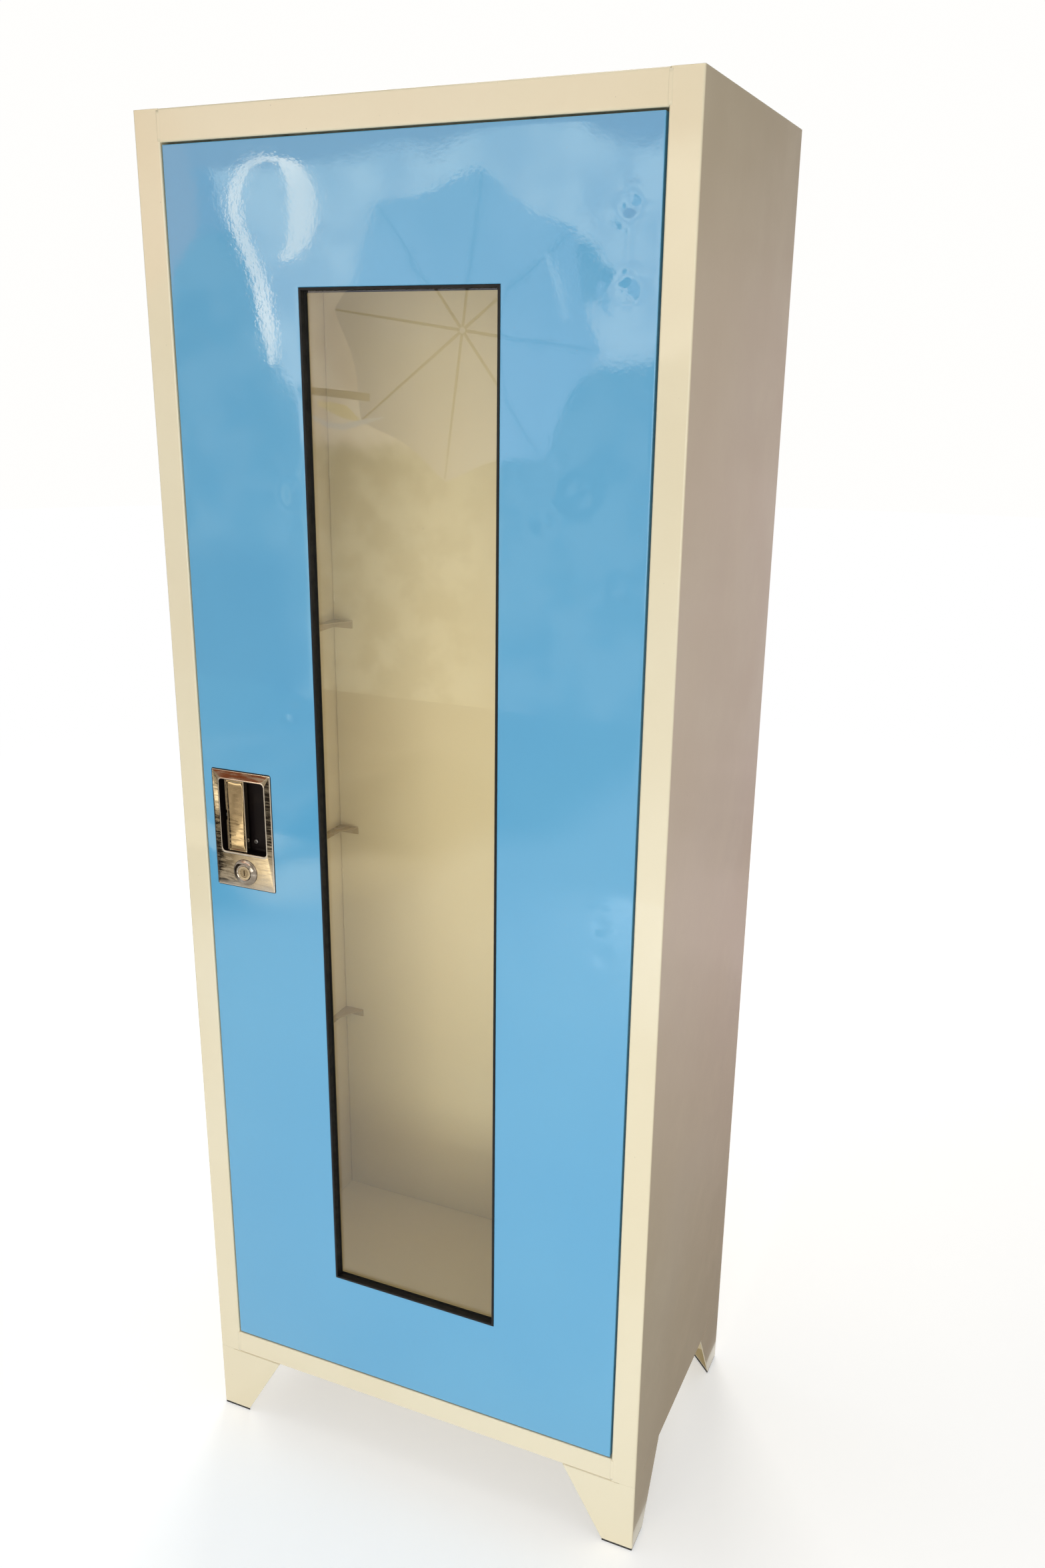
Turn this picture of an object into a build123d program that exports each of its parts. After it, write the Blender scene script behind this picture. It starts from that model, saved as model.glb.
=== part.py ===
from build123d import *
from math import cos, hypot, pi, radians, sin, sqrt
import os

# A tall single-door locker of folded sheet steel: a glazed, inset door on concealed cranked
# hinges, with a sprung pull flap in a recessed housing and a key that drives three bolts.
#
# Millimetres, +Z up. The front faces -Y and the origin is on the floor, under the middle of the
# locker's overall box. Shapes are built with their depth measured back from the front face of
# the carcass, which is flush with the door, and are moved to the origin when they are saved.

# ------------------------------------------------------------------- driving sizes: carcass
WIDTH = 675.0
DEPTH = 425.0
HEIGHT = 1830.0
SHEET = 1.0              # steel sheet of the carcass and the door
FOLD = 2.0               # outer radius of a fold in that sheet
STILE = 35.0             # face width of the two front uprights
TOP_RAIL = 35.0          # face height of the rail over the door
BOTTOM_RAIL = 36.0       # face height of the rail under the door
BOTTOM_RETURN = 20.0     # how far the bottom rail turns in underneath
STOP_LIP = 12.5          # width of the lip that the door closes against
FLOOR_STEP = 16.0        # height of the floor above the sill
BACK_FLANGE = 20.0       # depth of the back panel's turned edges
REAR_LIP = 15.0          # width of the lips round the rear edge

# ------------------------------------------------------------------- driving sizes: legs
LEG_HEIGHT = 110.0
LEG_SHEET = 1.5
LEG_TOP = 106.0          # width of each wing where it meets the carcass
LEG_FOOT = 45.0          # width of each wing at the floor
LEG_GUSSET = 98.0        # legs of the triangle that closes the top of the leg
PAD_HEIGHT = 4.0
PAD_INSET = 0.8          # pad's edge inside the leg's outer face
SEAM_HEIGHT = 0.9        # weld seam at the top of the leg
SEAM_DEPTH = 0.5
SEAM_END = 23.0          # how far from the corner the seam is ground flush

# ------------------------------------------------------------------- driving sizes: shelf seats
SEAT_LEVELS = {"lower": 510.0, "middle": 840.0, "upper": 1178.0}
SEAT_SHEET = 1.5
SEAT_ACROSS = 34.0       # edge of the triangle along the back
SEAT_ALONG = 62.0        # edge of the triangle along the side
SEAT_TURN = 12.0         # height of its turned-down edges

# ------------------------------------------------------------------- driving sizes: door
DOOR_GAP = 2.5           # between the door's edge and the opening
PAN_LIP = 12.0           # width of the lip round the back of the door pan
WINDOW_WIDTH = 250.0
WINDOW_ABOVE = 154.5     # from the top of the window to the top of the door
WINDOW_BELOW = 155.5     # from the bottom of the window to the bottom of the door
WINDOW_TURN = 6.0        # depth of the sheet turned in round the window
GASKET_WALL = 3.0
GASKET_PROUD = 0.5
GASKET_BACK = 2.0        # thickness of the gasket's rear flange
GASKET_LAP = 6.0         # width of that flange behind the turned-in sheet
GLASS = 4.0
GLASS_BITE = 8.0         # how far the glass reaches past the sight edge
CHANNEL_WIDTH = 40.0     # stiffening channels round the window
CHANNEL_GAP = 4.0        # from the gasket's flange to a channel
RETAINER_TOE = 10.0      # lap of a glass retainer on the glass
RETAINER_FOOT = 20.0     # lap of a glass retainer on its channel
RETAINER_PITCH = 300.0   # about the distance between the screws of a long retainer
RETAINER_SCREW_R = 1.5
RETAINER_HEAD_R = 3.2
RETAINER_HEAD = 2.0
RETAINER_POINT = 2.0     # length of a retainer screw past its channel

# ------------------------------------------------------------------- driving sizes: hinges
PIVOT_IN = 12.0          # from the door's edge to the hinge axis
KNUCKLE_R = 4.5
KNUCKLE_GAP = 0.5        # between a knuckle and the door's skin
HINGE_PIN_R = 2.0
HINGE_SHEET = 3.0
HINGE_BEND = 1.5         # inner radius of the cranked arm's bends
ARM_HEIGHT = 24.0
LEAF_HEIGHT = 80.0
LEAF_WIDTH = 48.0        # door leaf, from the hinge axis
LEAF_SHEET = 2.0
FRAME_LEAF_HEIGHT = 60.0
HINGE_END = 120.0        # from the door's top and bottom to the outer hinges
SWING_CLEAR = 1.5        # between the door's sweep and what it passes
HINGE_SCREW_R = 2.0
HINGE_SCREW_HEAD_R = 4.0
HINGE_SCREW_HEAD = 2.5
HINGE_SCREW_RISE = 21.0  # screws above and below the middle of the hinge
NUT_HEIGHT = 3.2
NUT_WIDTH = 7.0          # across flats

# ------------------------------------------------------------------- driving sizes: lock
KEY_IN = 59.0            # from the door's edge to the key's axis
KEY_HEIGHT = 912.6       # key's axis above the floor
PLATE_WIDTH = 90.0       # housing's face plate
PLATE_HEIGHT = 162.0
PLATE_PROUD = 1.5
PLATE_EDGE = 1.0         # radius round the plate's front edge
KEY_RISE = 22.6          # key's axis above the plate's lower edge
RECESS_RISE = 49.5       # recess above the plate's lower edge
RECESS_WIDTH = 69.0
RECESS_HEIGHT = 100.0
RECESS_CORNER = 6.0
CUP_WALL = 1.0
CUTOUT_GAP = 2.5         # round the cup, in the door's skin
BEZEL_PROUD = 6.0        # cylinder's face, in front of the door
BEZEL_R = 18.25
BEZEL_FACE_R = 11.5
BEZEL_CONE = 1.6         # height of the straight rim at the bezel's foot
BODY_R = 9.5
BODY_LENGTH = 9.5        # behind the door's face
PLUG_R = 6.5
PLUG_INSET = 0.8         # plug's face behind the bezel's
KEYWAY_WIDTH = 1.6
KEYWAY_HEIGHT = 8.0
KEYWAY_DEPTH = 7.0
SHAFT_R = 4.0
CYLINDER_NUT_R = 13.0
CYLINDER_NUT = 4.0

# ------------------------------------------------------------------- driving sizes: bolt work
WHEEL_PIN_CIRCLE = 16.0  # radius that the bolt wheel's pins stand on
WHEEL_PIN_R = 2.0
WHEEL = 3.0              # thickness of the wheel
WHEEL_RIM = 1.5          # metal outside the pins
TOP_PIN_ANGLE = 225      # wheel pins, anticlockwise from +X seen from the front, unlocked
BOTTOM_PIN_ANGLE = 45
SIDE_PIN_ANGLE = -45
PIN_SLACK = 0.6          # round a wheel pin in its slot
BAR_EDGE = 3.0           # metal beside a slot
BOLT = 2.5               # thickness of the side bolt
ROD = 3.0                # thickness of the two long rods
LAYER_GAP = 0.5          # between sliding layers
BRACKET_SHEET = 1.0
BRACKET_CLEAR = 5.0      # from the bars to the bracket's walls
BRACKET_FOOT = 9.0       # lap of the bracket's feet on the door's skin
BRACKET_TAB = 27.0       # height of the tab behind the recess
BRACKET_TAB_WIDTH = 16.0
WHEEL_SCREW_R = 4.5
WHEEL_SCREW = 2.5
HOUSING_SCREW_OUT = 9.0  # from the key's axis, towards the hinges
HOUSING_SCREW_UP = 13.0  # above the recess's lower wall
HOUSING_SCREW_R = 2.0
HOUSING_HEAD_R = 3.6
HOUSING_HEAD = 2.2
SPACER_WALL = 1.8
GUIDE_WALL = 3.0
GUIDE_HEIGHT = 12.0
GUIDE_FROM_PLATE = 100.0 # from the face plate's ends to the inner guides
GUIDE_FROM_END = 90.0    # from the door's top and bottom to the outer guides
ROD_END = 0.5            # a drawn-back bolt's end inside the door's edge
KEEPER_SHEET = 2.0
KEEPER_MARGIN = 11.0     # keeper plate beyond its slot

# ------------------------------------------------------------------- driving sizes: pull flap
FLAP_WIDTH = 31.5
FLAP_IN = 6.0            # gap between the recess's wall and the flap's rolled edge
FLAP_END_GAP = 1.0       # above and below the flap
FLAP_SHEET = 1.5
ROLL_R = 3.0             # rolled edge round the flap's pin
FLAP_GRIP = 8.0          # depth of the turned-back grip edge
FLAP_PIN_R = 1.25
SPRING_ROOM = 14.0       # height of the gap in the rolled edge that holds the spring
SPRING_WIRE_R = 0.4
SPRING_COIL_R = 2.1
SPRING_TURNS = 6
SPRING_LEG = 12.0

# ------------------------------------------------------------------- driving sizes: catch
CATCH_HEIGHT = 1250.0
CATCH_CASE = (18.0, 18.0, 44.0)       # across, deep, high
CATCH_EAR = 2.0
CATCH_MAGNET = (10.0, 10.0, 32.0)     # across, deep, high
CATCH_PROUD = 0.5                     # magnet in front of its case
CATCH_SCREW_R = 1.5
CATCH_HEAD_R = 3.0
CATCH_HEAD = 1.8
CATCH_SCREW_RISE = 12.0
ARMATURE = 1.2
ARMATURE_HEIGHT = 44.0
RIVET_HEAD = 1.0
BUFFER_R = 5.0
BUFFER_EDGE = 1.0
BUFFER_FROM_END = 152.0  # from the door's top and bottom to the buffers beside it
BUFFER_OUT = 150.0       # from the middle to the buffers over the door

# ------------------------------------------------------------------- clearances
RUN = 0.05               # radial, a pin that turns in its hole
SLIDE = 0.3              # round a bar in its guide, and where pieces are slipped together
SLOT_CLEAR = 1.0         # round a bar in a slot of the sheet
REST_GAP = 0.3           # between closed door and what it rests on

# ------------------------------------------------------------------- worked out: carcass
SIDE_IN = WIDTH / 2 - SHEET                  # inner face of a side
OPENING = WIDTH / 2 - STILE                  # half the width of the door opening
OPENING_TOP = HEIGHT - TOP_RAIL
SILL = LEG_HEIGHT + BOTTOM_RAIL
FLOOR = SILL + FLOOR_STEP
BACK_END = DEPTH - FOLD                      # back panel's edge, clear of the rear fold
BACK_FACE = BACK_END - BACK_FLANGE

# ------------------------------------------------------------------- worked out: lock layers
BOLT_FRONT = BODY_LENGTH + LAYER_GAP
WHEEL_FRONT = BOLT_FRONT + BOLT + LAYER_GAP
WHEEL_BACK = WHEEL_FRONT + WHEEL
ROD_FRONT = WHEEL_BACK + LAYER_GAP
ROD_BACK = ROD_FRONT + ROD
CUP_DEPTH = ROD_FRONT - 2 * LAYER_GAP        # back of the cup, in front of the rods
BRACKET_BACK = ROD_BACK + LAYER_GAP + BRACKET_SHEET
PAN_DEPTH = BRACKET_BACK + SHEET             # the door is as thick as its lock

# ------------------------------------------------------------------- worked out: door and swing
DOOR_X = OPENING - DOOR_GAP                  # half the door's width
DOOR_BOTTOM = SILL + DOOR_GAP
DOOR_TOP = OPENING_TOP - DOOR_GAP
PIVOT_X = DOOR_X - PIVOT_IN
PIVOT_D = SHEET + KNUCKLE_GAP + KNUCKLE_R
SWING_R = hypot(PIVOT_IN, PAN_DEPTH - PIVOT_D)
JAMB = PIVOT_D + SWING_R + SWING_CLEAR       # depth of the frame round the opening
HINGE_SCREW_X = OPENING + SHEET + STOP_LIP / 2
HINGE_LEVELS = {
    "upper": DOOR_TOP - HINGE_END,
    "middle": (DOOR_TOP + DOOR_BOTTOM) / 2,
    "lower": DOOR_BOTTOM + HINGE_END,
}

WINDOW_X = WINDOW_WIDTH / 2
WINDOW_TOP = DOOR_TOP - WINDOW_ABOVE
WINDOW_BOTTOM = DOOR_BOTTOM + WINDOW_BELOW
WINDOW_HEIGHT = WINDOW_TOP - WINDOW_BOTTOM
GLASS_FRONT = WINDOW_TURN + GASKET_BACK
GLASS_BACK = GLASS_FRONT + GLASS
CHANNEL_OUT = GASKET_LAP + CHANNEL_GAP       # from the window's edge to a channel

# ------------------------------------------------------------------- worked out: lock places
KEY_X = -DOOR_X + KEY_IN
PLATE_BOTTOM = KEY_HEIGHT - KEY_RISE
PLATE_TOP = PLATE_BOTTOM + PLATE_HEIGHT
RECESS_BOTTOM = PLATE_BOTTOM + RECESS_RISE
RECESS_TOP = RECESS_BOTTOM + RECESS_HEIGHT
CUTOUT_X = RECESS_WIDTH / 2 + CUP_WALL + CUTOUT_GAP
PIN_SIDE = WHEEL_PIN_CIRCLE / sqrt(2)        # a wheel pin's offset at either end of its turn
BAR_MIDDLE = (WHEEL_PIN_CIRCLE + PIN_SIDE) / 2
BAR_HALF = (WHEEL_PIN_CIRCLE - PIN_SIDE) / 2 + WHEEL_PIN_R + PIN_SLACK + BAR_EDGE
BAR_END = PIN_SIDE + WHEEL_PIN_R + PIN_SLACK + BAR_EDGE
TOP_ROD_X = KEY_X - BAR_MIDDLE
BOTTOM_ROD_X = KEY_X + BAR_MIDDLE
SIDE_BOLT_Z = KEY_HEIGHT - BAR_MIDDLE
BRACKET_X = BAR_MIDDLE + BAR_HALF + BRACKET_CLEAR
TOP_GUIDES = (PLATE_TOP + GUIDE_FROM_PLATE, DOOR_TOP - GUIDE_FROM_END)
BOTTOM_GUIDES = (PLATE_BOTTOM - GUIDE_FROM_PLATE, DOOR_BOTTOM + GUIDE_FROM_END)

FLAP_AXIS_X = KEY_X - RECESS_WIDTH / 2 + FLAP_IN + ROLL_R
FLAP_AXIS_D = ROLL_R
FLAP_MIDDLE = (RECESS_BOTTOM + RECESS_TOP) / 2
FLAP_BOTTOM = RECESS_BOTTOM + FLAP_END_GAP
FLAP_TOP = RECESS_TOP - FLAP_END_GAP

# ------------------------------------------------------------------- worked out: catch
CATCH_X = -OPENING + STOP_LIP + SHEET + CATCH_CASE[0] / 2
CATCH_SCREW_X = -OPENING + STOP_LIP / 2
RIVET_X = -DOOR_X + PAN_LIP / 2
CATCH_SCREW_LEVELS = (CATCH_HEIGHT - CATCH_SCREW_RISE, CATCH_HEIGHT + CATCH_SCREW_RISE)
MAGNET_FRONT = PAN_DEPTH + ARMATURE + REST_GAP
CASE_FRONT = MAGNET_FRONT + CATCH_PROUD

FRONT_Y = (BEZEL_PROUD - DEPTH) / 2          # the box runs from the bezel to the rear lips


# ------------------------------------------------------------------- shared shapes
def block(xs, ds, zs):
    """A box between three pairs of (low, high) limits."""
    size = [high - low for low, high in (xs, ds, zs)]
    return Pos(xs[0], ds[0], zs[0]) * Box(*size, align=(Align.MIN, Align.MIN, Align.MIN))


def bar(radius, start, end):
    """A round bar from one point to another."""
    axis = Vector(*end) - Vector(*start)
    return extrude(Plane(start, z_dir=axis) * Circle(radius), amount=axis.length)


def hexagon(width, start, end):
    """A hexagonal bar, given its width across the flats."""
    axis = Vector(*end) - Vector(*start)
    section = RegularPolygon(width / 2, 6, major_radius=False)
    return extrude(Plane(start, z_dir=axis) * section, amount=axis.length)


def folded(points, plane, length, sheet=SHEET, inner=FOLD - SHEET):
    """A folded sheet, extruded. Its metal lies to the right of the path through the points."""
    radii = []
    for before, corner, after in zip(points, points[1:], points[2:]):
        first = (corner[0] - before[0], corner[1] - before[1])
        second = (after[0] - corner[0], after[1] - corner[1])
        turns_left = first[0] * second[1] > first[1] * second[0]
        radii.append(inner if turns_left else inner + sheet)
    path = FilletPolyline(*points, radius=radii)
    section = make_face(offset(path, sheet, side=Side.RIGHT, closed=True).edges())
    return extrude(plane * section, amount=length)


def pan(xs, ds, zs):
    """An open-backed tray: its face in front, its four walls turned back."""
    outer = block(xs, ds, zs)
    outer = fillet(outer.faces().sort_by(Axis.Y)[0].edges(), FOLD)
    hollow = block(
        (xs[0] + SHEET, xs[1] - SHEET),
        (ds[0] + SHEET, ds[1] + SHEET),
        (zs[0] + SHEET, zs[1] - SHEET),
    )
    hollow = fillet(hollow.faces().sort_by(Axis.Y)[0].edges(), FOLD - SHEET)
    return outer - hollow


def span(middle, half):
    """The limits at equal distances from a middle."""
    return (middle - half, middle + half)


def mirrored(shape):
    """The same shape on the other side of the locker."""
    return mirror(shape, about=Plane.YZ)


def save(name, *shapes):
    """Write one node, moved from the front face to the origin."""
    moved = [Pos(0, FRONT_Y, 0) * solid for shape in shapes for solid in shape.solids()]
    export_step(Compound(moved) if len(moved) > 1 else moved[0], f"parts/{name}.step")


# ------------------------------------------------------------------- carcass
def envelope():
    """The carcass's outer box, with its top edges rounded like a fold."""
    box = block((-WIDTH / 2, WIDTH / 2), (0, DEPTH), (0, HEIGHT))
    return fillet(box.faces().sort_by(Axis.Z)[-1].edges(), FOLD)


def side_panel(lip_inwards):
    """The left side: door lip, jamb, stile, side and rear lip in one folded sheet."""
    lip_end = -OPENING + STOP_LIP if lip_inwards else -OPENING - STOP_LIP
    lip_face = JAMB - SHEET if lip_inwards else JAMB
    points = [
        (lip_end, lip_face),
        (-OPENING, lip_face),
        (-OPENING, 0),
        (-WIDTH / 2, 0),
        (-WIDTH / 2, DEPTH),
        (-WIDTH / 2 + REAR_LIP, DEPTH),
    ]
    panel = folded(points, Plane((0, 0, LEG_HEIGHT)), HEIGHT - LEG_HEIGHT) & envelope()
    for cut in ((0, SILL + FOLD - SHEET), (OPENING_TOP, HEIGHT)):
        panel -= block((-OPENING, -OPENING + 2 * STOP_LIP), (0, JAMB + SHEET), cut)
    under_top = block((-SIDE_IN, 0), (SHEET, DEPTH - SHEET), (HEIGHT - SHEET, HEIGHT))
    return panel - under_top


def side_bolt_slot():
    """The way that the side bolt needs through the sheets on the latch side."""
    return block(
        (-WIDTH / 2 + SHEET, KEY_X),
        (BOLT_FRONT - SLOT_CLEAR, BOLT_FRONT + BOLT + SLOT_CLEAR),
        span(SIDE_BOLT_Z, BAR_HALF + SLOT_CLEAR),
    )


def rod_slot(x, zs):
    """The way that a long rod needs through the sheets at the door's top or bottom."""
    return block(
        span(x, BAR_HALF + SLOT_CLEAR), (ROD_FRONT - SLOT_CLEAR, ROD_BACK + SLOT_CLEAR), zs
    )


def left_side_panel():
    return side_panel(lip_inwards=True) - side_bolt_slot()


def right_side_panel():
    panel = mirrored(side_panel(lip_inwards=False))
    for height in hinge_screw_levels():
        panel -= hinge_screw_shank(height)
    return panel


def top_panel():
    points = [
        (JAMB - SHEET, OPENING_TOP - STOP_LIP),
        (JAMB - SHEET, OPENING_TOP),
        (0, OPENING_TOP),
        (0, HEIGHT),
        (DEPTH, HEIGHT),
        (DEPTH, HEIGHT - REAR_LIP),
    ]
    panel = folded(points, Plane.YZ.offset(-OPENING), 2 * OPENING)
    for side in (-1, 1):
        xs = sorted((side * OPENING, side * SIDE_IN))
        panel += block(xs, (SHEET, DEPTH - SHEET), (HEIGHT - SHEET, HEIGHT))
        lip_xs = sorted((side * OPENING, side * (WIDTH / 2 - REAR_LIP)))
        panel += block(lip_xs, (DEPTH - SHEET, DEPTH), (HEIGHT - REAR_LIP, HEIGHT))
    corner = block(
        (-OPENING, -OPENING + STOP_LIP), (0, JAMB), (OPENING_TOP - STOP_LIP, OPENING_TOP)
    )
    return (panel & envelope()) - corner - rod_slot(TOP_ROD_X, (OPENING_TOP, HEIGHT - SHEET))


def bottom_panel():
    points = [
        (BOTTOM_RETURN, LEG_HEIGHT),
        (0, LEG_HEIGHT),
        (0, SILL),
        (JAMB, SILL),
        (JAMB, FLOOR),
        (BACK_FACE, FLOOR),
        (BACK_FACE, FLOOR - BACK_FLANGE),
    ]
    panel = folded(points, Plane.YZ.offset(-OPENING), 2 * OPENING)
    for side in (-1, 1):
        xs = sorted((side * OPENING, side * SIDE_IN))
        panel += block(xs, (JAMB, BACK_FACE), (FLOOR - SHEET, FLOOR))
    return panel - rod_slot(BOTTOM_ROD_X, (LEG_HEIGHT + SHEET, SILL))


def back_panel():
    return pan(
        (-SIDE_IN, SIDE_IN), (BACK_FACE, BACK_END), (LEG_HEIGHT, HEIGHT - SHEET)
    )


def leg():
    """The front left leg: two tapered wings, a gusset under the carcass and a foot plate."""
    corner = -WIDTH / 2
    points = [(corner + LEG_TOP, 0), (corner, 0), (corner, LEG_TOP)]
    height = LEG_HEIGHT - PAD_HEIGHT
    shape = folded(
        points, Plane((0, 0, PAD_HEIGHT)), height, LEG_SHEET, FOLD - LEG_SHEET
    )
    taper = Polyline(
        (LEG_FOOT, PAD_HEIGHT), (LEG_TOP, LEG_HEIGHT), (LEG_TOP, PAD_HEIGHT), close=True
    )
    wedge = make_face(taper)
    shape -= extrude(Plane((corner, 0, 0), x_dir=(1, 0, 0), z_dir=(0, -1, 0)) * wedge, -LEG_TOP)
    shape -= extrude(Plane((corner, 0, 0), x_dir=(0, 1, 0), z_dir=(1, 0, 0)) * wedge, LEG_TOP)
    for reach, low in ((LEG_GUSSET, LEG_HEIGHT - LEG_SHEET), (LEG_FOOT, PAD_HEIGHT)):
        shape += corner_triangle(LEG_SHEET / 2, reach, (low, low + LEG_SHEET))
    seam = (LEG_HEIGHT - SEAM_HEIGHT, LEG_HEIGHT)
    shape -= block((corner + SEAM_END, corner + LEG_TOP), (0, SEAM_DEPTH), seam)
    shape -= block((corner, corner + SEAM_DEPTH), (SEAM_END, LEG_TOP), seam)
    return shape


def corner_triangle(inset, reach, zs):
    """A flat triangle in the front left corner of the carcass."""
    corner = -WIDTH / 2
    outline = Polyline(
        (corner + inset, inset), (corner + reach, inset), (corner + inset, reach), close=True
    )
    return extrude(Plane((0, 0, zs[0])) * make_face(outline), amount=zs[1] - zs[0])


def to_rear(shape):
    """A front corner's shape, turned to the rear corner of the same side."""
    return mirror(shape, about=Plane((0, DEPTH / 2, 0), z_dir=(0, 1, 0)))


def four_corners(shape):
    return [shape, mirrored(shape), to_rear(shape), mirrored(to_rear(shape))]


def corner_seat(level, front):
    """A left-hand triangular shelf seat with turned-down edges, in the front or rear corner."""
    wall = JAMB if front else BACK_FACE
    inwards = 1 if front else -1
    plate = (level - SEAT_SHEET, level)
    turn = (level - SEAT_TURN, level)
    outline = Polyline(
        (-SIDE_IN, wall),
        (-SIDE_IN + SEAT_ACROSS, wall),
        (-SIDE_IN, wall + inwards * SEAT_ALONG),
        close=True,
    )
    seat = extrude(Plane((0, 0, plate[0])) * make_face(outline), amount=SEAT_SHEET)
    along = sorted((wall, wall + inwards * SEAT_ALONG))
    across = sorted((wall, wall + inwards * SEAT_SHEET))
    seat += block((-SIDE_IN, -SIDE_IN + SEAT_SHEET), along, turn)
    seat += block((-SIDE_IN, -SIDE_IN + SEAT_ACROSS), across, turn)
    return seat


def rod_keeper(rod_x, zs):
    """A plate behind the sheet at a rod's end, with the same slot."""
    ds = (ROD_FRONT - KEEPER_MARGIN, ROD_BACK + KEEPER_MARGIN / 2)
    return block(span(rod_x, BAR_HALF + KEEPER_MARGIN), ds, zs) - rod_slot(rod_x, zs)


def side_bolt_strike():
    """A plate behind the left jamb, with the same slot."""
    xs = (-OPENING - SHEET - KEEPER_SHEET, -OPENING - SHEET)
    ds = (BOLT_FRONT - KEEPER_MARGIN / 2, BOLT_FRONT + BOLT + KEEPER_MARGIN / 2)
    return block(xs, ds, span(SIDE_BOLT_Z, BAR_HALF + KEEPER_MARGIN)) - side_bolt_slot()


# ------------------------------------------------------------------- hinges
def hinge_screw_levels():
    rises = (-HINGE_SCREW_RISE, HINGE_SCREW_RISE)
    return [level + rise for level in HINGE_LEVELS.values() for rise in rises]


def hinge_screw_shank(height):
    x = HINGE_SCREW_X
    ends = [(x, JAMB - SHEET - NUT_HEIGHT, height), (x, JAMB + HINGE_SHEET, height)]
    return bar(HINGE_SCREW_R, *ends)


def hinge_screw(height):
    back = JAMB + HINGE_SHEET
    ends = [(HINGE_SCREW_X, depth, height) for depth in (back, back + HINGE_SCREW_HEAD)]
    head = bar(HINGE_SCREW_HEAD_R, *ends)
    head = fillet(head.faces().sort_by(Axis.Y)[-1].edges(), HINGE_SCREW_HEAD / 2)
    return head + hinge_screw_shank(height)


def hinge_nut(height):
    back = JAMB - SHEET
    ends = [(HINGE_SCREW_X, depth, height) for depth in (back - NUT_HEIGHT, back)]
    return hexagon(NUT_WIDTH, *ends) - hinge_screw_shank(height)


def frame_leaf(height):
    """The cranked arm from the right jamb, round the door's edge, to the hinge axis."""
    crook = PIVOT_X - SWING_R - SWING_CLEAR - HINGE_SHEET
    back = JAMB + HINGE_SHEET
    front = PIVOT_D - HINGE_SHEET / 2
    edge = OPENING + SHEET + STOP_LIP
    points = [(PIVOT_X, front), (crook, front), (crook, back), (edge, back)]
    plane = Plane((0, 0, height - ARM_HEIGHT / 2))
    leaf = folded(points, plane, ARM_HEIGHT, HINGE_SHEET, HINGE_BEND)
    leaf += block(
        (OPENING + SHEET, edge), (JAMB, back), span(height, FRAME_LEAF_HEIGHT / 2)
    )
    low = (PIVOT_X, PIVOT_D, height - ARM_HEIGHT / 2)
    high = (PIVOT_X, PIVOT_D, height + ARM_HEIGHT / 2)
    leaf += bar(KNUCKLE_R, low, high)
    leaf -= bar(HINGE_PIN_R + RUN, low, high)
    for rise in (-HINGE_SCREW_RISE, HINGE_SCREW_RISE):
        leaf -= hinge_screw_shank(height + rise)
    return leaf


def door_leaf(height):
    """The plate on the door's skin, with a knuckle over and under the frame leaf's."""
    half = LEAF_HEIGHT / 2
    notch = ARM_HEIGHT / 2 + REST_GAP
    leaf = block(
        (PIVOT_X - LEAF_WIDTH, PIVOT_X), (SHEET, SHEET + LEAF_SHEET), span(height, half)
    )
    leaf -= block(
        (PIVOT_X - KNUCKLE_R - SWING_CLEAR, PIVOT_X),
        (SHEET, SHEET + LEAF_SHEET),
        span(height, notch),
    )
    for low, high in ((notch, half), (-half, -notch)):
        ends = [(PIVOT_X, PIVOT_D, height + z) for z in (low, high)]
        leaf += bar(KNUCKLE_R, *ends)
        leaf -= bar(HINGE_PIN_R, *ends)
    return leaf


def hinge_pin(height):
    half = LEAF_HEIGHT / 2
    return bar(
        HINGE_PIN_R, (PIVOT_X, PIVOT_D, height - half), (PIVOT_X, PIVOT_D, height + half)
    )


# ------------------------------------------------------------------- door
def door_pan():
    """The door's skin, with its edges turned back and in, and the window's edge turned in."""
    xs, zs = (-DOOR_X, DOOR_X), (DOOR_BOTTOM, DOOR_TOP)
    door = pan(xs, (0, PAN_DEPTH), zs)
    lip = block(xs, (PAN_DEPTH - SHEET, PAN_DEPTH), zs)
    lip = lip - block(
        (xs[0] + PAN_LIP, xs[1] - PAN_LIP), (0, PAN_DEPTH), (zs[0] + PAN_LIP, zs[1] - PAN_LIP)
    )
    door += lip
    door += window_block(SHEET, 0, WINDOW_TURN)
    door -= window_block(0, 0, WINDOW_TURN)
    rim = [
        edge
        for edge in door.faces().sort_by(Axis.Y)[0].edges()
        if abs(edge.center().X) < WINDOW_X + SHEET
        and WINDOW_BOTTOM - SHEET < edge.center().Z < WINDOW_TOP + SHEET
    ]
    door = fillet(rim, FOLD)
    door -= block(
        span(KEY_X, CUTOUT_X),
        (0, SHEET),
        (KEY_HEIGHT - CYLINDER_NUT_R - CUTOUT_GAP, RECESS_TOP + CUP_WALL + CUTOUT_GAP),
    )
    for height in HINGE_LEVELS.values():
        door -= block(
            (xs[1] - PAN_LIP, xs[1] - SHEET),
            (PAN_DEPTH - SHEET, PAN_DEPTH),
            span(height, ARM_HEIGHT / 2 + 2 * SWING_CLEAR),
        )
    door -= side_bolt_slot() & block(
        (-DOOR_X, -DOOR_X + PAN_LIP), (0, PAN_DEPTH), (DOOR_BOTTOM, DOOR_TOP)
    )
    door -= rod_slot(TOP_ROD_X, (DOOR_TOP - SHEET, DOOR_TOP))
    door -= rod_slot(BOTTOM_ROD_X, (DOOR_BOTTOM, DOOR_BOTTOM + SHEET))
    return door


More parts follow.
